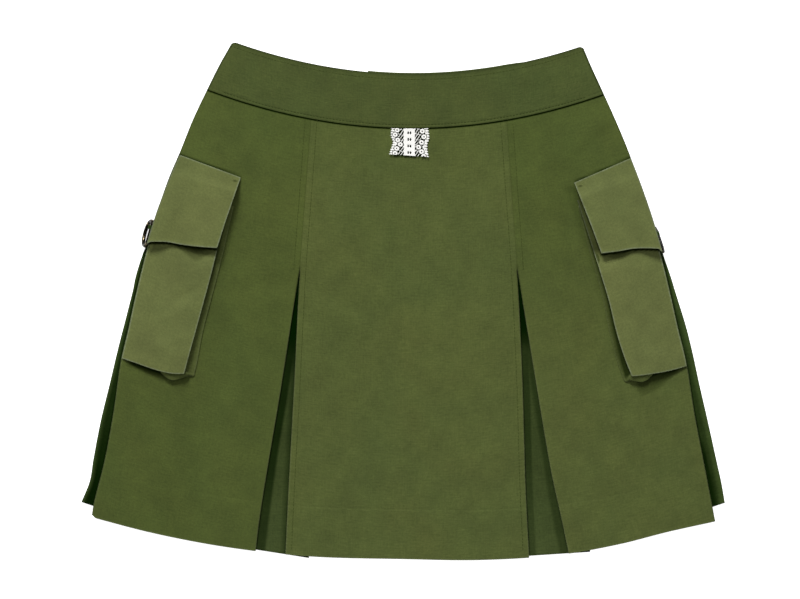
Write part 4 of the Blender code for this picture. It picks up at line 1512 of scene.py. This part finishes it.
@dataclass
class Waistband:
    """Shaped waistband: the front in one piece, the back in two halves that overlap."""

    wardrobe: Wardrobe
    wall: float = 2.0
    depth: float = 46.0
    corner: float = 3.0
    turn: float = 1.6
    foot: float = 1.1
    closure: float = -30.9
    peek: float = 1.3
    inset: float = 2.0

    def build(self) -> list[Piece]:
        """Build the front band and both halves of the back band."""
        return [self._front(), self._back(Side.LEFT), self._back(Side.RIGHT)]

    def surface(self, across: Array, down: Array) -> Array:
        """Middle of the front band.

        Args:
            across: Places across the band.
            down: Their courses.

        Returns:
            Height, pressed in a little along the two seams.
        """
        seam, top = CUT.waist_seam.at(across), CUT.top_edge.at(across)
        sewn = -0.20 * hump(seam - down - 3.1, 0.8)
        rolled = -0.10 * hump(down - top - 4.4, 0.9)
        edge = -0.35 * ease(1 - (seam - down) / 1.2) - 0.30 * ease(1 - (down - top))
        return CUT.band_height(across, down) + BAND_RELIEF.at(across, down) + sewn + rolled + edge

    def _front(self) -> Piece:
        """Front waistband, turned down at both sides.

        Returns:
            The band.
        """
        angles = np.radians(np.linspace(90, 0, 7)[1:])
        end = Columns(np.ones(7), np.append(self.turn * (np.cos(angles) - 1), 0),
                      np.append(self.turn * (1 - np.sin(angles)), CUT.band_level))
        inner = np.array(spread(0, 1, 2 / 335))
        span = Columns(inner, mix(self.turn, -self.turn, inner), np.zeros(len(inner)))
        columns = end.mirrored().then(span).then(end)
        rows = join_places(spread(0, 1, 1.7 / self.depth), [0.008, 0.02, 0.035],
                           [1 - above / self.depth for above in (4.2, 3.6, 3.1, 2.6, 1.2, 0.8, 0.5, 0.25)])
        share, place, shift, drop = columns.over(rows)
        half = self.wall / 2
        down = np.full_like(share, 50)
        for _ in range(ROUNDS):
            left = -CUT.side_edge.at(Side.LEFT, down) + half
            right = CUT.side_edge.at(Side.RIGHT, down) - half
            across = mix(left, right, place) + shift
            nearest = np.minimum(across - left, right - across)
            top = CUT.top_edge.at(across) + corner_cut(self.corner, nearest)
            down = mix(top, CUT.waist_seam.at(across), share)
        height = np.maximum(self.foot, self.surface(across, down) - drop)
        points = np.dstack((across, down, height))
        edge = edge_distance(points, waist=True, hem=False, start=False, end=False)
        top = CUT.top_edge.at(across)
        # painted shade: a dark line along the top edge and on the turned ends, and a dark line along the seam
        rim = np.maximum(0.70 * hump(down - top, 1.3), 0.55 * ease(drop / 0.25))
        shade = np.maximum(rim, fall(CUT.waist_seam.at(across) - down, 0.4, 0.6))
        band = Sheet("waistband_front", points, self.wall, 0.55, edge, shade).dressed(self.wardrobe.band)
        return band

    def _back(self, side: Side) -> Piece:
        """One half of the back waistband. The right half peeks out above the front band.

        Args:
            side: Side of the skirt.

        Returns:
            The band.
        """
        closure = self.closure - side.pick(SEAM_GAP, 0)
        clear = self.wall + self.turn / 2 + GAP
        share, place = grid(
            join_places(spread(0, 1, 3 / self.depth), [0.01, 0.03, 0.97, 0.99]), spread(0, 1, 3 / 190))
        down = np.full_like(share, 50)
        for _ in range(ROUNDS):
            outer = side.sign * (CUT.side_edge.at(side, down) - clear)
            across = mix(*side.pick((outer, closure), (closure, outer)), place)
            inset = side.pick(self.inset, mix(-self.peek, self.inset, ease((across - 90) / 45)))
            down = mix(CUT.top_edge.at(across) + inset, CUT.waist_seam.at(across), share)
        points = np.dstack((across, down, np.full_like(across, self.wall / 2)))
        band = Sheet("waistband_back_" + side.value, points, self.wall, 0.5).dressed(self.wardrobe.band)
        return band

    def sew(self, low: Stitches, high: Stitches) -> None:
        """Topstitch the front band.

        Args:
            low: Where the stitches above its seam go.
            high: Where the stitches below its top edge go.
        """
        across = np.array(spread(-158, 162, 3))
        for stitches, down in ((low, CUT.waist_seam.at(across) - 2.9), (high, CUT.top_edge.at(across) + 4.4)):
            stitches.run(np.column_stack((across, down, self.surface(across, down) + self.wall / 2)))


# ---- pockets ----
FACE_RELIEFS = (
    Relief(0.20, 22, 21, (
        (-206, 206, -190, 222, 7, -0.45, 1.5), (-184, 218, -196, 224, 3.6, -0.50),
        (-182, 232, -206, 240, 4.5, 0.32, 1), (-186, 258, -214, 266, 5, 0.30, 1),
        (-222, 180, -230, 250, 6, 0.35), (-236, 262, -206, 272, 6, 0.35, -1.5))),
    Relief(0.20, 22, 27, (
        (206, 200, 220, 268, 5.5, -0.42, 2), (194, 232, 202, 262, 5, 0.36),
        (226, 196, 238, 250, 6, 0.30), (214, 262, 236, 270, 5, -0.25),
        (188, 196, 214, 200, 5, 0.25))))
FLAP_RELIEFS = (
    Relief(0.16, 26, 33, (
        (-196, 118, -200, 156, 12, -0.42, 2), (-166, 130, -172, 170, 9, 0.30),
        (-212, 140, -216, 168, 7, 0.26))),
    Relief(0.16, 26, 37, (
        (186, 128, 200, 164, 11, -0.40, -2), (168, 134, 178, 172, 8, 0.28),
        (206, 120, 214, 150, 7, 0.28))))


class Border(Enum):
    """Where a section hangs on the pocket face, with the way out of it left and right."""

    INNER = ((-0.96, 0.27), (-0.96, 0.27))
    CORNER = ((-0.97, 0.24), (-0.72, 0.69))
    BOTTOM = ((0.22, 0.975), (0.22, 0.975))


@dataclass(frozen=True)
class Station:
    """One section of a gusset: its place on the face, its fold and its bases by side."""

    border: Border
    share: float
    fold: float
    bases: Place


@dataclass
class CargoPocket:
    """Bellows pocket: a face, a folded gusset on two of its edges and a flap."""

    wardrobe: Wardrobe
    side: Side
    gusset_wall: float = 1.0
    gusset_fold: float = 0.75
    gusset_inset: float = 0.9
    sew_gap: float = 0.3
    flap_wall: float = 1.6
    flap_shares: tuple[float, ...] = (0, 0.16, 0.36, 0.70, 1)
    flap_lifts: tuple[float, ...] = (8.4, 6.6, 2.5, 2.3, 3.4)
    flap_root: float = 0.24
    dent: float = 2.3
    dent_size: Place = (17, 9)
    dent_across: float = 176.0
    dent_below: float = 4.5
    tail_drops: Place = (1.5, 2.25)
    tail_width: float = 0.05
    tack: Place = (5.4, 3.4)
    stations: tuple[Station, ...] = (
        Station(Border.INNER, 0.03, -6, (5.6, 1)), Station(Border.INNER, 0.30, -7, (5.6, 3.4)),
        Station(Border.INNER, 0.52, -7, (5.6, 4.2)), Station(Border.INNER, 0.74, -6.5, (6, 5.8)),
        Station(Border.INNER, 0.88, -4.5, (7.9, 7)), Station(Border.INNER, 0.97, -1.2, (8.6, 7.6)),
        Station(Border.CORNER, 0.00, 3, (7.3, 6.6)), Station(Border.BOTTOM, 0.12, 4.4, (-1, -1)),
        Station(Border.BOTTOM, 0.22, 4.2, (-2.2, -2.2)), Station(Border.BOTTOM, 0.34, 0.8, (-2.4, -2.4)),
        Station(Border.BOTTOM, 0.46, -3.4, (-1.6, -1.6)), Station(Border.BOTTOM, 0.58, -4, (-1, -1)))

    def build(self) -> list[Piece]:
        """Build the pocket's face, gusset and flap."""
        return [self._face(), self._gusset(), self._flap()]

    def face_surface(self, outward: Array, down: Array) -> Array:
        """Middle of the pocket face.

        Args:
            outward: Distances outward.
            down: Their courses.

        Returns:
            Height, with the creases and the dent below the flap.
        """
        creases = self.side.pick(*FACE_RELIEFS).at(self.side.sign * outward, down)
        middle = CUT.flap(self.side).bottom_inner_down + self.dent_below
        hollow = np.exp(-((outward - self.dent_across) / self.dent_size[0]) ** 2
                        - ((down - middle) / self.dent_size[1]) ** 2)
        return CUT.face_height(self.side, outward, down) + creases - self.dent * hollow

    def _face(self) -> Piece:
        """Pocket face, stitched flat on the side fold and raised towards the front.

        Returns:
            The face.
        """
        shares = join_places(spread(0, 1, 1.6 / 66), [0.006, 0.018, 0.982, 0.994])
        share, place = grid(join_places(spread(0, 1, 1.1 / 160), [0.003, 0.997]), shares)
        inward = self.side.pick(place, 1 - place)
        outward, down = CUT.face_point(self.side, inward, share)
        rolled = -0.15 * ease((inward - 0.985) / 0.015) - 0.12 * ease((share - 0.990) / 0.010)
        points = np.dstack((self.side.sign * outward, down, self.face_surface(outward, down) + rolled))
        face = Sheet("pocket_face_" + self.side.value, points, WALL, 0.32, edge_distance(points),
                     self._face_shade(outward, down)).dressed(self.wardrobe.pocket)
        return face

    def _face_shade(self, outward: Array, down: Array) -> Array:
        """Painted shadow of the flap on the face, and painted shade on the wedge that shows beside the flap.

        Args:
            outward: Distances outward.
            down: Their courses.

        Returns:
            Darkness from 0 to 1.
        """
        flap = CUT.flap(self.side)
        reach = np.clip((outward - flap.bottom_inner) / (flap.bottom_outer - flap.bottom_inner), 0, 1)
        beyond = down - mix(flap.bottom_inner_down, flap.bottom_outer_down, reach)
        beyond = beyond - CUT.flap_sag.at(self.side, 1 - reach)
        flap_inner = mix(flap.top_inner, flap.bottom_inner, np.clip(
            (down - flap.top_inner_down) / (flap.bottom_inner_down - flap.top_inner_down), 0, 1))
        short, broad = self.side.pick((2.4, 13.5), (2.6, 8.5))
        length = mix(short, broad, hump(reach - 0.30, 0.19))
        below = smooth_table(
            (0, 0.10, 0.16, 0.24, 0.34, 0.45, 0.70, 0.85, 1),
            (1, 0.98, 0.90, 0.80, 0.62, 0.46, 0.40, 0.24, 0), np.clip(beyond / length, 0, 1))
        below = np.maximum(below, fall(beyond, 1.7, 1.1))
        wedge = fall(down, *self.side.pick((162, 26, 0.75), (181, 8, 0.67)))
        return mix(wedge, below, ease((outward - flap_inner + 1.6) / 1.6))

    def _gusset(self) -> Piece:
        """Folded strip between the pocket face and the skirt.

        Each section runs from the face over the fold to the skirt, and the strip is a
        smooth surface through all the sections.

        Returns:
            The gusset.
        """
        sections = self._sections()
        clear = WALL / 2 + self.sew_gap + self.gusset_wall / 2
        coarse = []
        for edge, lead, fold, base in sections:
            hang, foot, tip = edge - lead * self.gusset_inset, edge + lead * base, edge + lead * fold
            top = float(CUT.face_height(self.side, hang[0], hang[1])) - clear
            bottom = float(CUT.front_height(self.side.sign * foot[0], foot[1])) + clear
            middle = (top + bottom) / 2
            bulge = max(-1, min(1, (fold - (base - self.gusset_inset) / 2) / 2))
            points = [(hang, top), ((hang + tip) / 2, (top + middle + self.gusset_fold) / 2)]
            for step in range(5):
                angle = math.radians(90 - 45 * step)
                plan = tip + lead * (bulge * self.gusset_fold * math.cos(angle))
                points.append((plan, middle + self.gusset_fold * math.sin(angle)))
            points += [((foot + tip) / 2, (bottom + middle - self.gusset_fold) / 2), (foot, bottom)]
            coarse.append([(self.side.sign * plan[0], plan[1], height) for plan, height in points])
        fine_rows, points = smooth_rows(np.array(coarse), 1 / 7)
        fine_columns, points = smooth_rows(points.transpose(1, 0, 2), 1 / 4)
        points = points.transpose(1, 0, 2)
        gusset = Sheet(
            "pocket_gusset_" + self.side.value, points, self.gusset_wall, 0.25,
            edge_distance(points, hem=False),
            self._gusset_shade(*grid(fine_rows, fine_columns))).dressed(self.wardrobe.body)
        return gusset

    def _gusset_shade(self, section: Array, depth: Array) -> Array:
        """Painted shade in the gusset's fold, lighter towards the pocket's lower corner.

        Args:
            section: Number of the section, from the mouth.
            depth: Number of the place in it, from the face to the skirt.

        Returns:
            Darkness from 0 to 1.
        """
        shade = 0.35 + 0.6 * np.clip(1 - np.abs(depth - 5) / 4, 0, 1)
        shade = np.maximum(shade, 0.85 * ease(depth / 2) * fall(depth, 6.4, 0.8))
        if self.side is Side.LEFT:
            shade = shade * mix(1, 0.22, ease((section - 0.8) / 2.2))
            shade[:, -3:] = 0.0
        else:
            shade = shade * mix(1, 0.55, ease((section - 1) / 4))
            shade = shade * mix(1, 0.35, ease(section - 4.6))
            shade = np.maximum(shade, 0.85 * ease(depth - 5) * fall(depth, 7.3, 0.5))
            shade[:, -2:] = 0.34
        ear = 0.30 * (depth < 1) + 0.60 * hump(depth - 4, 0.6)
        return mix(shade, ear, ease((section - 5.2) / 0.8))

    def _sections(self) -> list[tuple[Array, Array, float, float]]:
        """Places of the gusset's sections.

        Returns:
            For each section the face's edge, the way out of it, the fold and the base.
        """
        sections = []
        for station in self.stations:
            along = (1, station.share) if station.border is Border.INNER else (1 - station.share, 1)
            spot = np.array(CUT.face_point(self.side, *along), float)
            lead = np.array(self.side.pick(*station.border.value))
            sections.append((spot, lead, station.fold, self.side.pick(*station.bases)))
        return sections

    def flap_point(self, inward: Array, share: Array) -> tuple[Array, Array, Array]:
        """Place on the middle of the flap.

        Args:
            inward: Share from the outer to the inner edge.
            share: Share from the top to the free edge.

        Returns:
            Distance outward, course and height.
        """
        flap = CUT.flap(self.side)
        outer = mix(flap.top_outer, flap.bottom_outer, share) + flap.bow * 4 * share * (1 - share)
        inner = mix(flap.top_inner, flap.bottom_inner, share)
        outward = mix(outer, inner, inward)
        down = mix(mix(flap.top_outer_down, flap.bottom_outer_down, share),
                   mix(flap.top_inner_down, flap.bottom_inner_down, share), inward)
        rest = WALL / 2 + GAP + self.flap_wall / 2
        on_skirt = CUT.front_height(self.side.sign * outward, down) + rest
        on_pocket = CUT.face_height(self.side, outward, down) + rest
        lift = smooth_table(self.flap_shares, self.flap_lifts, inward) * share
        height = mix(on_skirt, on_pocket, ease(share / self.flap_root)) + lift
        tail = (1 - ease(inward / self.tail_width)) * ease((share - 0.55) / 0.45)
        reach = self.side.pick(*self.tail_drops)
        sag = CUT.flap_sag.at(self.side, inward) * ease((share - HANG_START) / (1 - HANG_START))
        return outward + 0.2 * reach * tail, down + reach * tail + sag, height

    def _flap(self) -> Piece:
        """Pocket flap, sewn down above the mouth and standing clear at its free end.

        Returns:
            The flap.
        """
        share, place = grid(
            join_places(spread(0, 1, 1.3 / 76), [0.006, 0.986, 0.995], spread(0.02, 0.16, 0.6 / 76)),
            join_places(spread(0, 1, 1.3 / 58), [0.006, 0.992]))
        inward = self.side.pick(place, 1 - place)
        outward, down, height = self.flap_point(inward, share)
        height = height + self.side.pick(*FLAP_RELIEFS).at(self.side.sign * outward, down)
        rolled = 0.30 * ease((share - 0.960) / 0.020) - 0.08 * ease((share - 0.992) / 0.008)
        points = np.dstack((self.side.sign * outward, down, height + rolled))
        # painted shade: a little darker just below the sewn top edge, and a dark outline along the outer edge
        shade = np.maximum(0.14 * hump(share - 0.10, 0.09), 0.5 * (1 - ease(inward / 0.014)))
        # painted shade of the small crease that the bar-tack draws in at the inner corner
        cut = CUT.flap(self.side)
        aside, below = outward - cut.top_inner - self.tack[0], down - cut.top_inner_down - self.tack[1]
        tack_crease_shade = np.exp(-((aside - 0.5 * below) / 2.3) ** 2 - ((below + 0.22 * aside) / 0.95) ** 2)
        flap = Sheet(
            "pocket_flap_" + self.side.value, points, self.flap_wall, 0.22, edge_distance(points, waist=True),
            np.maximum(shade, 0.80 * tack_crease_shade)).dressed(self.wardrobe.pocket)
        return flap

    def sew(self, stitches: Stitches) -> None:
        """Sew a bar-tack at the flap's inner top corner.

        Args:
            stitches: Where the stitches go.
        """
        for share in (0.055, 0.075, 0.095):
            inward = np.linspace(0.86, 0.95, 8)
            outward, down, height = self.flap_point(inward, np.full_like(inward, share))
            across = self.side.sign * outward
            height = height + self.side.pick(*FLAP_RELIEFS).at(across, down) + self.flap_wall / 2 - 0.12
            stitches.run(np.column_stack((across, down, height)))


@dataclass
class RingInLoop:
    """D-ring of round wire in a narrow cloth loop under the flap."""

    wardrobe: Wardrobe
    side: Side
    across: float
    down: float
    height: float
    lean: float = math.radians(15.5)
    width: float = 22.5
    depth: float = 11.8
    wire: float = 2.4
    corner: float = 2.8
    clear: float = 0.1
    loop_width: float = 3.6
    loop_wall: float = 0.9
    loop_reach: float = 9.0
    loop_shift: float = 5.7
    sew_gap: float = 0.3

    def build(self) -> list[Piece]:
        """Build the ring and its loop."""
        return [self._ring(), self._loop()]

    def _frame(self) -> tuple[Vector, Vector, Vector]:
        """Where the ring hangs.

        Returns:
            Middle of its bar in metres, direction along the bar and outward direction.
        """
        sign = self.side.sign
        middle = Vector((sign * self.across, HALF_LENGTH - self.down, self.height)) * MM
        along = Vector((-sign * math.sin(self.lean), math.cos(self.lean), 0))
        outward = Vector((sign * math.cos(self.lean), math.sin(self.lean), 0))
        return middle, along, outward

    def _ring(self) -> Piece:
        """Ring of smooth wire, bent from a curve and turned into a mesh.

        Returns:
            The ring.
        """
        middle, along, outward = self._frame()
        tilt = math.asin((self.height - self.wire / 2 - self.clear) / self.depth)
        slope = outward * math.cos(tilt) - Vector((0, 0, 1)) * math.sin(tilt)
        half, bow = self.width / 2, self.depth - self.corner
        outline = []
        for centre, start in ((self.corner - half, 180), (half - self.corner, 270)):
            for step in range(9):
                angle = math.radians(start + 90 * step / 8)
                outline.append((
                    centre + self.corner * math.cos(angle), self.corner + self.corner * math.sin(angle)))
        for step in range(1, 32):
            angle = math.pi * step / 32
            outline.append((half * math.cos(angle), self.corner + bow * math.sin(angle) ** 0.8))
        name = "ring_wire_" + self.side.value
        curve = bpy.data.curves.new(name, "CURVE")
        curve.dimensions = "3D"
        curve.bevel_depth = self.wire / 2 * MM
        curve.bevel_resolution = 5
        curve.resolution_u = 1
        spline = curve.splines.new("POLY")
        spline.points.add(len(outline) - 1)
        for point, (x, y) in zip(spline.points, outline):
            point.co = (*(middle + along * (x * MM) + slope * (y * MM)), 1)
        spline.use_cyclic_u = True
        ring = bpy.data.objects.new(name, curve)
        bpy.context.scene.collection.objects.link(ring)
        take_up(ring)
        bpy.ops.object.convert(target="MESH")
        bpy.ops.object.shade_smooth()
        ring = bpy.context.object
        node = "d_ring_" + self.side.value
        # the right ring takes the darker copy of the bronze: painted shade
        metal = self.side.pick(self.wardrobe.bronze, self.wardrobe.dark_bronze)
        dress(ring, metal, node, "ring_" + self.side.value)
        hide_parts(node)
        return ring

    def _loop(self) -> Piece:
        """Cloth loop: both ends lie on the pocket face, its fold holds the bar.

        Returns:
            The loop.
        """
        middle, along, outward = self._frame()
        centre = middle + along * (self.loop_shift * MM)
        radius = self.wire / 2 + self.sew_gap + self.loop_wall / 2
        root_plan = centre - outward * (self.loop_reach * MM)
        root_down = HALF_LENGTH - root_plan.y / MM
        root = float(CUT.face_height(self.side, abs(root_plan.x / MM), root_down) + WALL / 2)
        root += self.sew_gap + self.loop_wall / 2
        upper = root + self.loop_wall + self.sew_gap
        half_reach = -0.5 * self.loop_reach
        section = [(-self.loop_reach, root), (half_reach, mix(root, self.height - radius, 0.6))]
        for step in range(13):
            angle = math.radians(-90 + 15 * step)
            section.append((radius * math.cos(angle), self.height + radius * math.sin(angle)))
        section += [(half_reach, mix(upper, self.height + radius, 0.5)), (-self.loop_reach, upper)]
        if self.side is Side.LEFT:
            section.reverse()
        _, curve = smooth_rows(np.array(section), 0.34)
        points = []
        for share in np.linspace(0, 1, 9):
            aside = centre + along * (self.loop_width * (0.5 - share) * MM)
            edge = 0.12 * abs(2 * share - 1) ** 4
            spots = [(aside + outward * (float(reach) * MM), level) for reach, level in curve]
            points.append([(s.x / MM, HALF_LENGTH - s.y / MM, level - edge) for s, level in spots])
        points = np.array(points)
        # the loop is painted half in shade, in the darker copy of the twill
        return Sheet("ring_loop_" + self.side.value, points, self.loop_wall, 0.25,
                     shade=np.full(points.shape[:2], 0.5)).dressed(self.wardrobe.strip)


# ---- lace ----
@dataclass
class LaceTab:
    """Cotton lace caught in the waist seam: a firm band, two nets and scalloped edges."""

    wardrobe: Wardrobe
    middle: float = 5.63
    bottom_left_down: float = 98.0
    bottom_right_down: float = 100.4
    wall: float = 0.7
    cell: float = 0.22
    slot_pitch: float = 6.2
    picot_pitch: float = 2.3
    size: Place = (36.4, 25.6)
    left_rings: tuple[Place, ...] = (
        (-10.7, 1.8), (-12.5, 6.3), (-10.2, 11.3), (-7.9, 15.5), (-11.1, 19.6), (-12.6, 24.2))
    right_rings: tuple[Place, ...] = (
        (11.4, 2.6), (12.8, 7.7), (10.7, 12.8), (8.1, 17.2), (10.7, 21.3), (12.6, 25.4))
    left_edge: tuple[Place, ...] = (
        (0, 15), (3.9, 15.8), (9.5, 15.3), (13, 14), (16.5, 14.7), (20.8, 16), (25.6, 17.2))
    right_edge: tuple[Place, ...] = (
        (0, 15.9), (6, 16.9), (10.2, 16.8), (13, 15.6), (17.9, 15.2), (22.1, 15.9), (25.6, 16.4))

    def place(self, x: Array, share: Array) -> tuple[Array, Array, Array]:
        """Place on the tab.

        Args:
            x: Millimetres from the lace's middle line, towards +X.
            share: Share of the way down from the seam.

        Returns:
            Across, course and height.
        """
        across = self.middle + x
        top = CUT.waist_seam.at(across) + SEAM_GAP
        bottom = mix(self.bottom_left_down, self.bottom_right_down, x / 34 + 0.5)
        down = mix(top, bottom, share)
        wave = 0.25 * np.sin((x / 35 + 0.5) * 9) * share
        height = CUT.front_height(across, down) + FRONT_RELIEF.at(across, down) + WALL / 2 + GAP + 0.5
        return across, down, height + 0.9 * share * share + wave

    def pattern(self, x: Array, y: Array) -> Array:
        """Where the lace has thread, as a height that is positive on thread.

        Args:
            x: Millimetres from the lace's middle line, towards +X.
            y: Millimetres down from the seam.

        Returns:
            Positive on thread, negative in the holes.
        """
        away = np.abs(x)
        row = (y - 4.2) / self.slot_pitch
        hole_y = (row - np.rint(row)) * self.slot_pitch
        holes = ((away - 1) / 0.80) ** 2 + (hole_y / 1.5) ** 2
        thread = np.where(away < 4.9, np.minimum(4.9 - away, (np.sqrt(holes) - 1) * 0.7), -1)
        slant = np.abs(((x + 0.62 * y) / 2.5 + 0.25) % 1 - 0.5) * 2.1
        knot = np.abs(((0.30 * x - y) / 5.2 + 0.1) % 1 - 0.5) * 5
        net = np.where((away > 4.7) & (away < 12.5), np.maximum(0.23 - slant, 0.16 - knot), -1)
        thread = np.maximum(thread, net)
        for turn, rings, edge in ((-1, self.left_rings, self.left_edge),
                                  (1, self.right_rings, self.right_edge)):
            centre = smooth_table([p[1] for p in rings], [abs(p[0]) for p in rings], y)
            outer = smooth_table(*zip(*edge), y)
            out = x * turn
            braid = np.minimum(out - np.maximum(centre + 1.2, outer - 2.7), outer + self.teeth(y) - out)
            braid = np.where(out > 4, np.minimum(braid, 0.5), -1)
            picot = (y / self.picot_pitch) % 1 - 0.5
            eyelet = np.hypot((out - outer + 1.5) / 0.55, picot * self.picot_pitch / 0.6) - 1
            bar = np.where(
                (out > centre) & (out < outer - 1), 0.22 - np.abs(((y + 0.3 * x) / 3.1) % 1 - 0.5) * 3.1, -1)
            thread = np.maximum.reduce([thread, np.minimum(braid, eyelet * 0.45), bar])
            for ring_x, ring_y in rings:
                reach = np.hypot(x - ring_x, y - ring_y)
                thread = np.where(reach < 2.65, 0.68 - np.abs(reach - 1.40), thread)
        edges = (smooth_table(*zip(*edge), y) for edge in (self.left_edge, self.right_edge))
        return np.minimum(thread, np.where(x < 0, *edges) + self.teeth(y) - away)

    def teeth(self, y: Array) -> Array:
        """How far the picots stand out along the tab's two sides."""
        return 0.9 * (np.abs((y / self.picot_pitch) % 1 - 0.5) * 4 - 1)

    def build(self) -> Piece:
        """Cut the lace's pattern from a fine grid and lay it on the skirt.

        Returns:
            The lace.
        """
        width, length = self.size
        columns, rows = round(width / self.cell), round(length / self.cell)
        deselect()
        bpy.ops.mesh.primitive_grid_add(
            x_subdivisions=columns, y_subdivisions=rows, size=2, location=(0, 0, 0))
        tab = bpy.context.object
        tab.name = tab.data.name = "lace"
        mesh = tab.data
        flat = np.empty(len(mesh.vertices) * 3)
        mesh.vertices.foreach_get("co", flat)
        flat = flat.reshape(-1, 3)
        x, y = flat[:, 0] * width / 2, (1 - flat[:, 1]) / 2 * length
        value = self.pattern(x, y)
        # slide the grid's points next to a thread's edge onto that edge
        step = 0.02
        slope_x = (self.pattern(x + step, y) - self.pattern(x - step, y)) / (2 * step)
        slope_y = (self.pattern(x, y + step) - self.pattern(x, y - step)) / (2 * step)
        steep = np.maximum(slope_x ** 2 + slope_y ** 2, 0.25)
        near = np.abs(value) < self.cell * 0.75
        slide = np.where(near, -value / steep, 0)
        reach = self.cell * 0.48
        x = x + np.clip(slide * slope_x, -reach, reach)
        y = np.clip(y + np.clip(slide * slope_y, -reach, reach), 0, length)
        across, down, height = self.place(x, y / length)
        height = height + 0.16 * np.clip(value / 0.4, 0, 1)
        laid = np.column_stack((across * MM, (HALF_LENGTH - down) * MM, height * MM))
        mesh.vertices.foreach_set("co", laid.ravel())
        centre = np.array([np.mean([value[v] for v in face.vertices]) for face in mesh.polygons])
        bpy.ops.object.mode_set(mode="EDIT")
        bpy.ops.mesh.select_mode(type="FACE")
        bpy.ops.mesh.select_all(action="DESELECT")
        bpy.ops.object.mode_set(mode="OBJECT")
        mesh.polygons.foreach_set("select", centre < 0)
        bpy.ops.object.mode_set(mode="EDIT")
        bpy.ops.mesh.delete(type="FACE")
        bpy.ops.object.mode_set(mode="OBJECT")
        solidify = tab.modifiers.new("wall", "SOLIDIFY")
        solidify.thickness = self.wall * MM
        solidify.offset = 0.0
        smooth = tab.modifiers.new("round", "SMOOTH")
        smooth.factor = 0.5
        smooth.iterations = 1
        apply_all(tab)
        bpy.ops.object.shade_smooth()
        dress(tab, self.wardrobe.lace, "lace_tab")
        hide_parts("lace_tab")
        return tab


# ---- studio ----
@dataclass
class Studio:
    """Pale floor, soft light from beyond the waistband and a camera straight above."""

    floor_colour: Colour = (0.92, 0.92, 0.92)
    floor_fleck: Colour = (0.90, 0.90, 0.90)
    floor_glow: float = 0.90
    middle: Place = (-2.64, 1.78)
    view_width: float = 704.0
    key_power: float = 372.0
    fill: float = 0.22

    def build(self) -> None:
        """Build the floor, the lights, the world and the camera."""
        self._floor()
        self._lights()
        self._camera()

    def _floor(self) -> None:
        """Lay a wide floor just under the skirt."""
        deselect()
        bpy.ops.mesh.primitive_plane_add(size=8, location=(0, 0, -0.0002))
        floor = bpy.context.object
        floor.name = "floor"
        n = Nodes("pale_floor")
        grain = n.noise(n.add("TexCoord").outputs["Object"], 40, 3)
        tone = n.blend(n.ramp(grain, 0.3, 0.7, 0, 0.15), self.floor_colour, self.floor_fleck)
        floor.data.materials.append(n.finish(
            self.floor_colour, Base_Color=tone, Roughness=0.9, Emission_Color=(1, 1, 1),
            Emission_Strength=self.floor_glow))

    def _lights(self) -> None:
        """Set one large soft key, a weak fill and a white world."""
        for name, spot, size, power in (("key", (-1.14, 4.59, 4.05), 1.7, self.key_power),
                                        ("fill", (0.3, 0.2, 5.4), 2.7, self.key_power * 0.14)):
            light = bpy.data.lights.new(name, "AREA")
            light.shape = "SQUARE"
            light.size = size
            light.energy = power
            lamp = bpy.data.objects.new(name, light)
            lamp.location = spot
            lamp.rotation_euler = (-Vector(spot)).to_track_quat("-Z", "Y").to_euler()
            bpy.context.scene.collection.objects.link(lamp)
        world = bpy.data.worlds.new("studio")
        world.use_nodes = True
        background = world.node_tree.nodes["Background"]
        background.inputs["Color"].default_value = (1, 1, 1, 1)
        background.inputs["Strength"].default_value = self.fill
        bpy.context.scene.world = world

    def _camera(self) -> None:
        """Hang the camera straight above the skirt."""
        data = bpy.data.cameras.new("camera")
        data.type = "ORTHO"
        data.ortho_scale = self.view_width * MM
        data.clip_start, data.clip_end = 0.05, 20
        camera = bpy.data.objects.new("camera", data)
        camera.location = (self.middle[0] * MM, self.middle[1] * MM, 1.5)
        scene = bpy.context.scene
        scene.collection.objects.link(camera)
        scene.camera = camera
        scene.view_settings.view_transform = "Standard"


def report(name: str, made: Sequence[Piece]) -> None:
    """Log what a sub-assembly made."""
    faces = sum(len(piece.data.polygons) for piece in made)
    LOG.info("%s: %d pieces, %d faces", name, len(made), faces)


def main() -> None:
    """Dress the skirt, light it and set the camera."""
    logging.basicConfig(level=logging.INFO, format="%(name)s: %(message)s")
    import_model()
    wardrobe = Wardrobe.make()
    stitches, topstitch = Stitches("seam_stitches"), Stitches("waist_topstitch")
    back = BackPanels(wardrobe)
    report("back", back.build())
    back.sew(stitches)
    report("underlays", Underlays(wardrobe).build())
    front = FrontPanels(wardrobe)
    report("front panels", front.build())
    front.sew(stitches)
    band = Waistband(wardrobe)
    report("waistband", band.build())
    band.sew(topstitch, stitches)
    for side in Side:
        pocket = CargoPocket(wardrobe, side)
        report("pocket " + side.value, pocket.build())
        pocket.sew(stitches)
    left = RingInLoop(wardrobe, Side.LEFT, 223, 167.9, 12, math.radians(15.5), depth=11, wire=3.4)
    right = RingInLoop(wardrobe, Side.RIGHT, 225.2, 173.3, 13.05, math.radians(19))
    for ring in (left, right):
        report("ring " + ring.side.value, ring.build())
    report("lace", [LaceTab(wardrobe).build()])
    sewn = [stitches.sew(), topstitch.sew()]
    dress(sewn[0], wardrobe.thread, "front_centre")
    dress(sewn[1], wardrobe.seam_thread, "waistband_front")
    report("stitches", sewn)
    Studio().build()


if __name__ == "__main__":
    main()
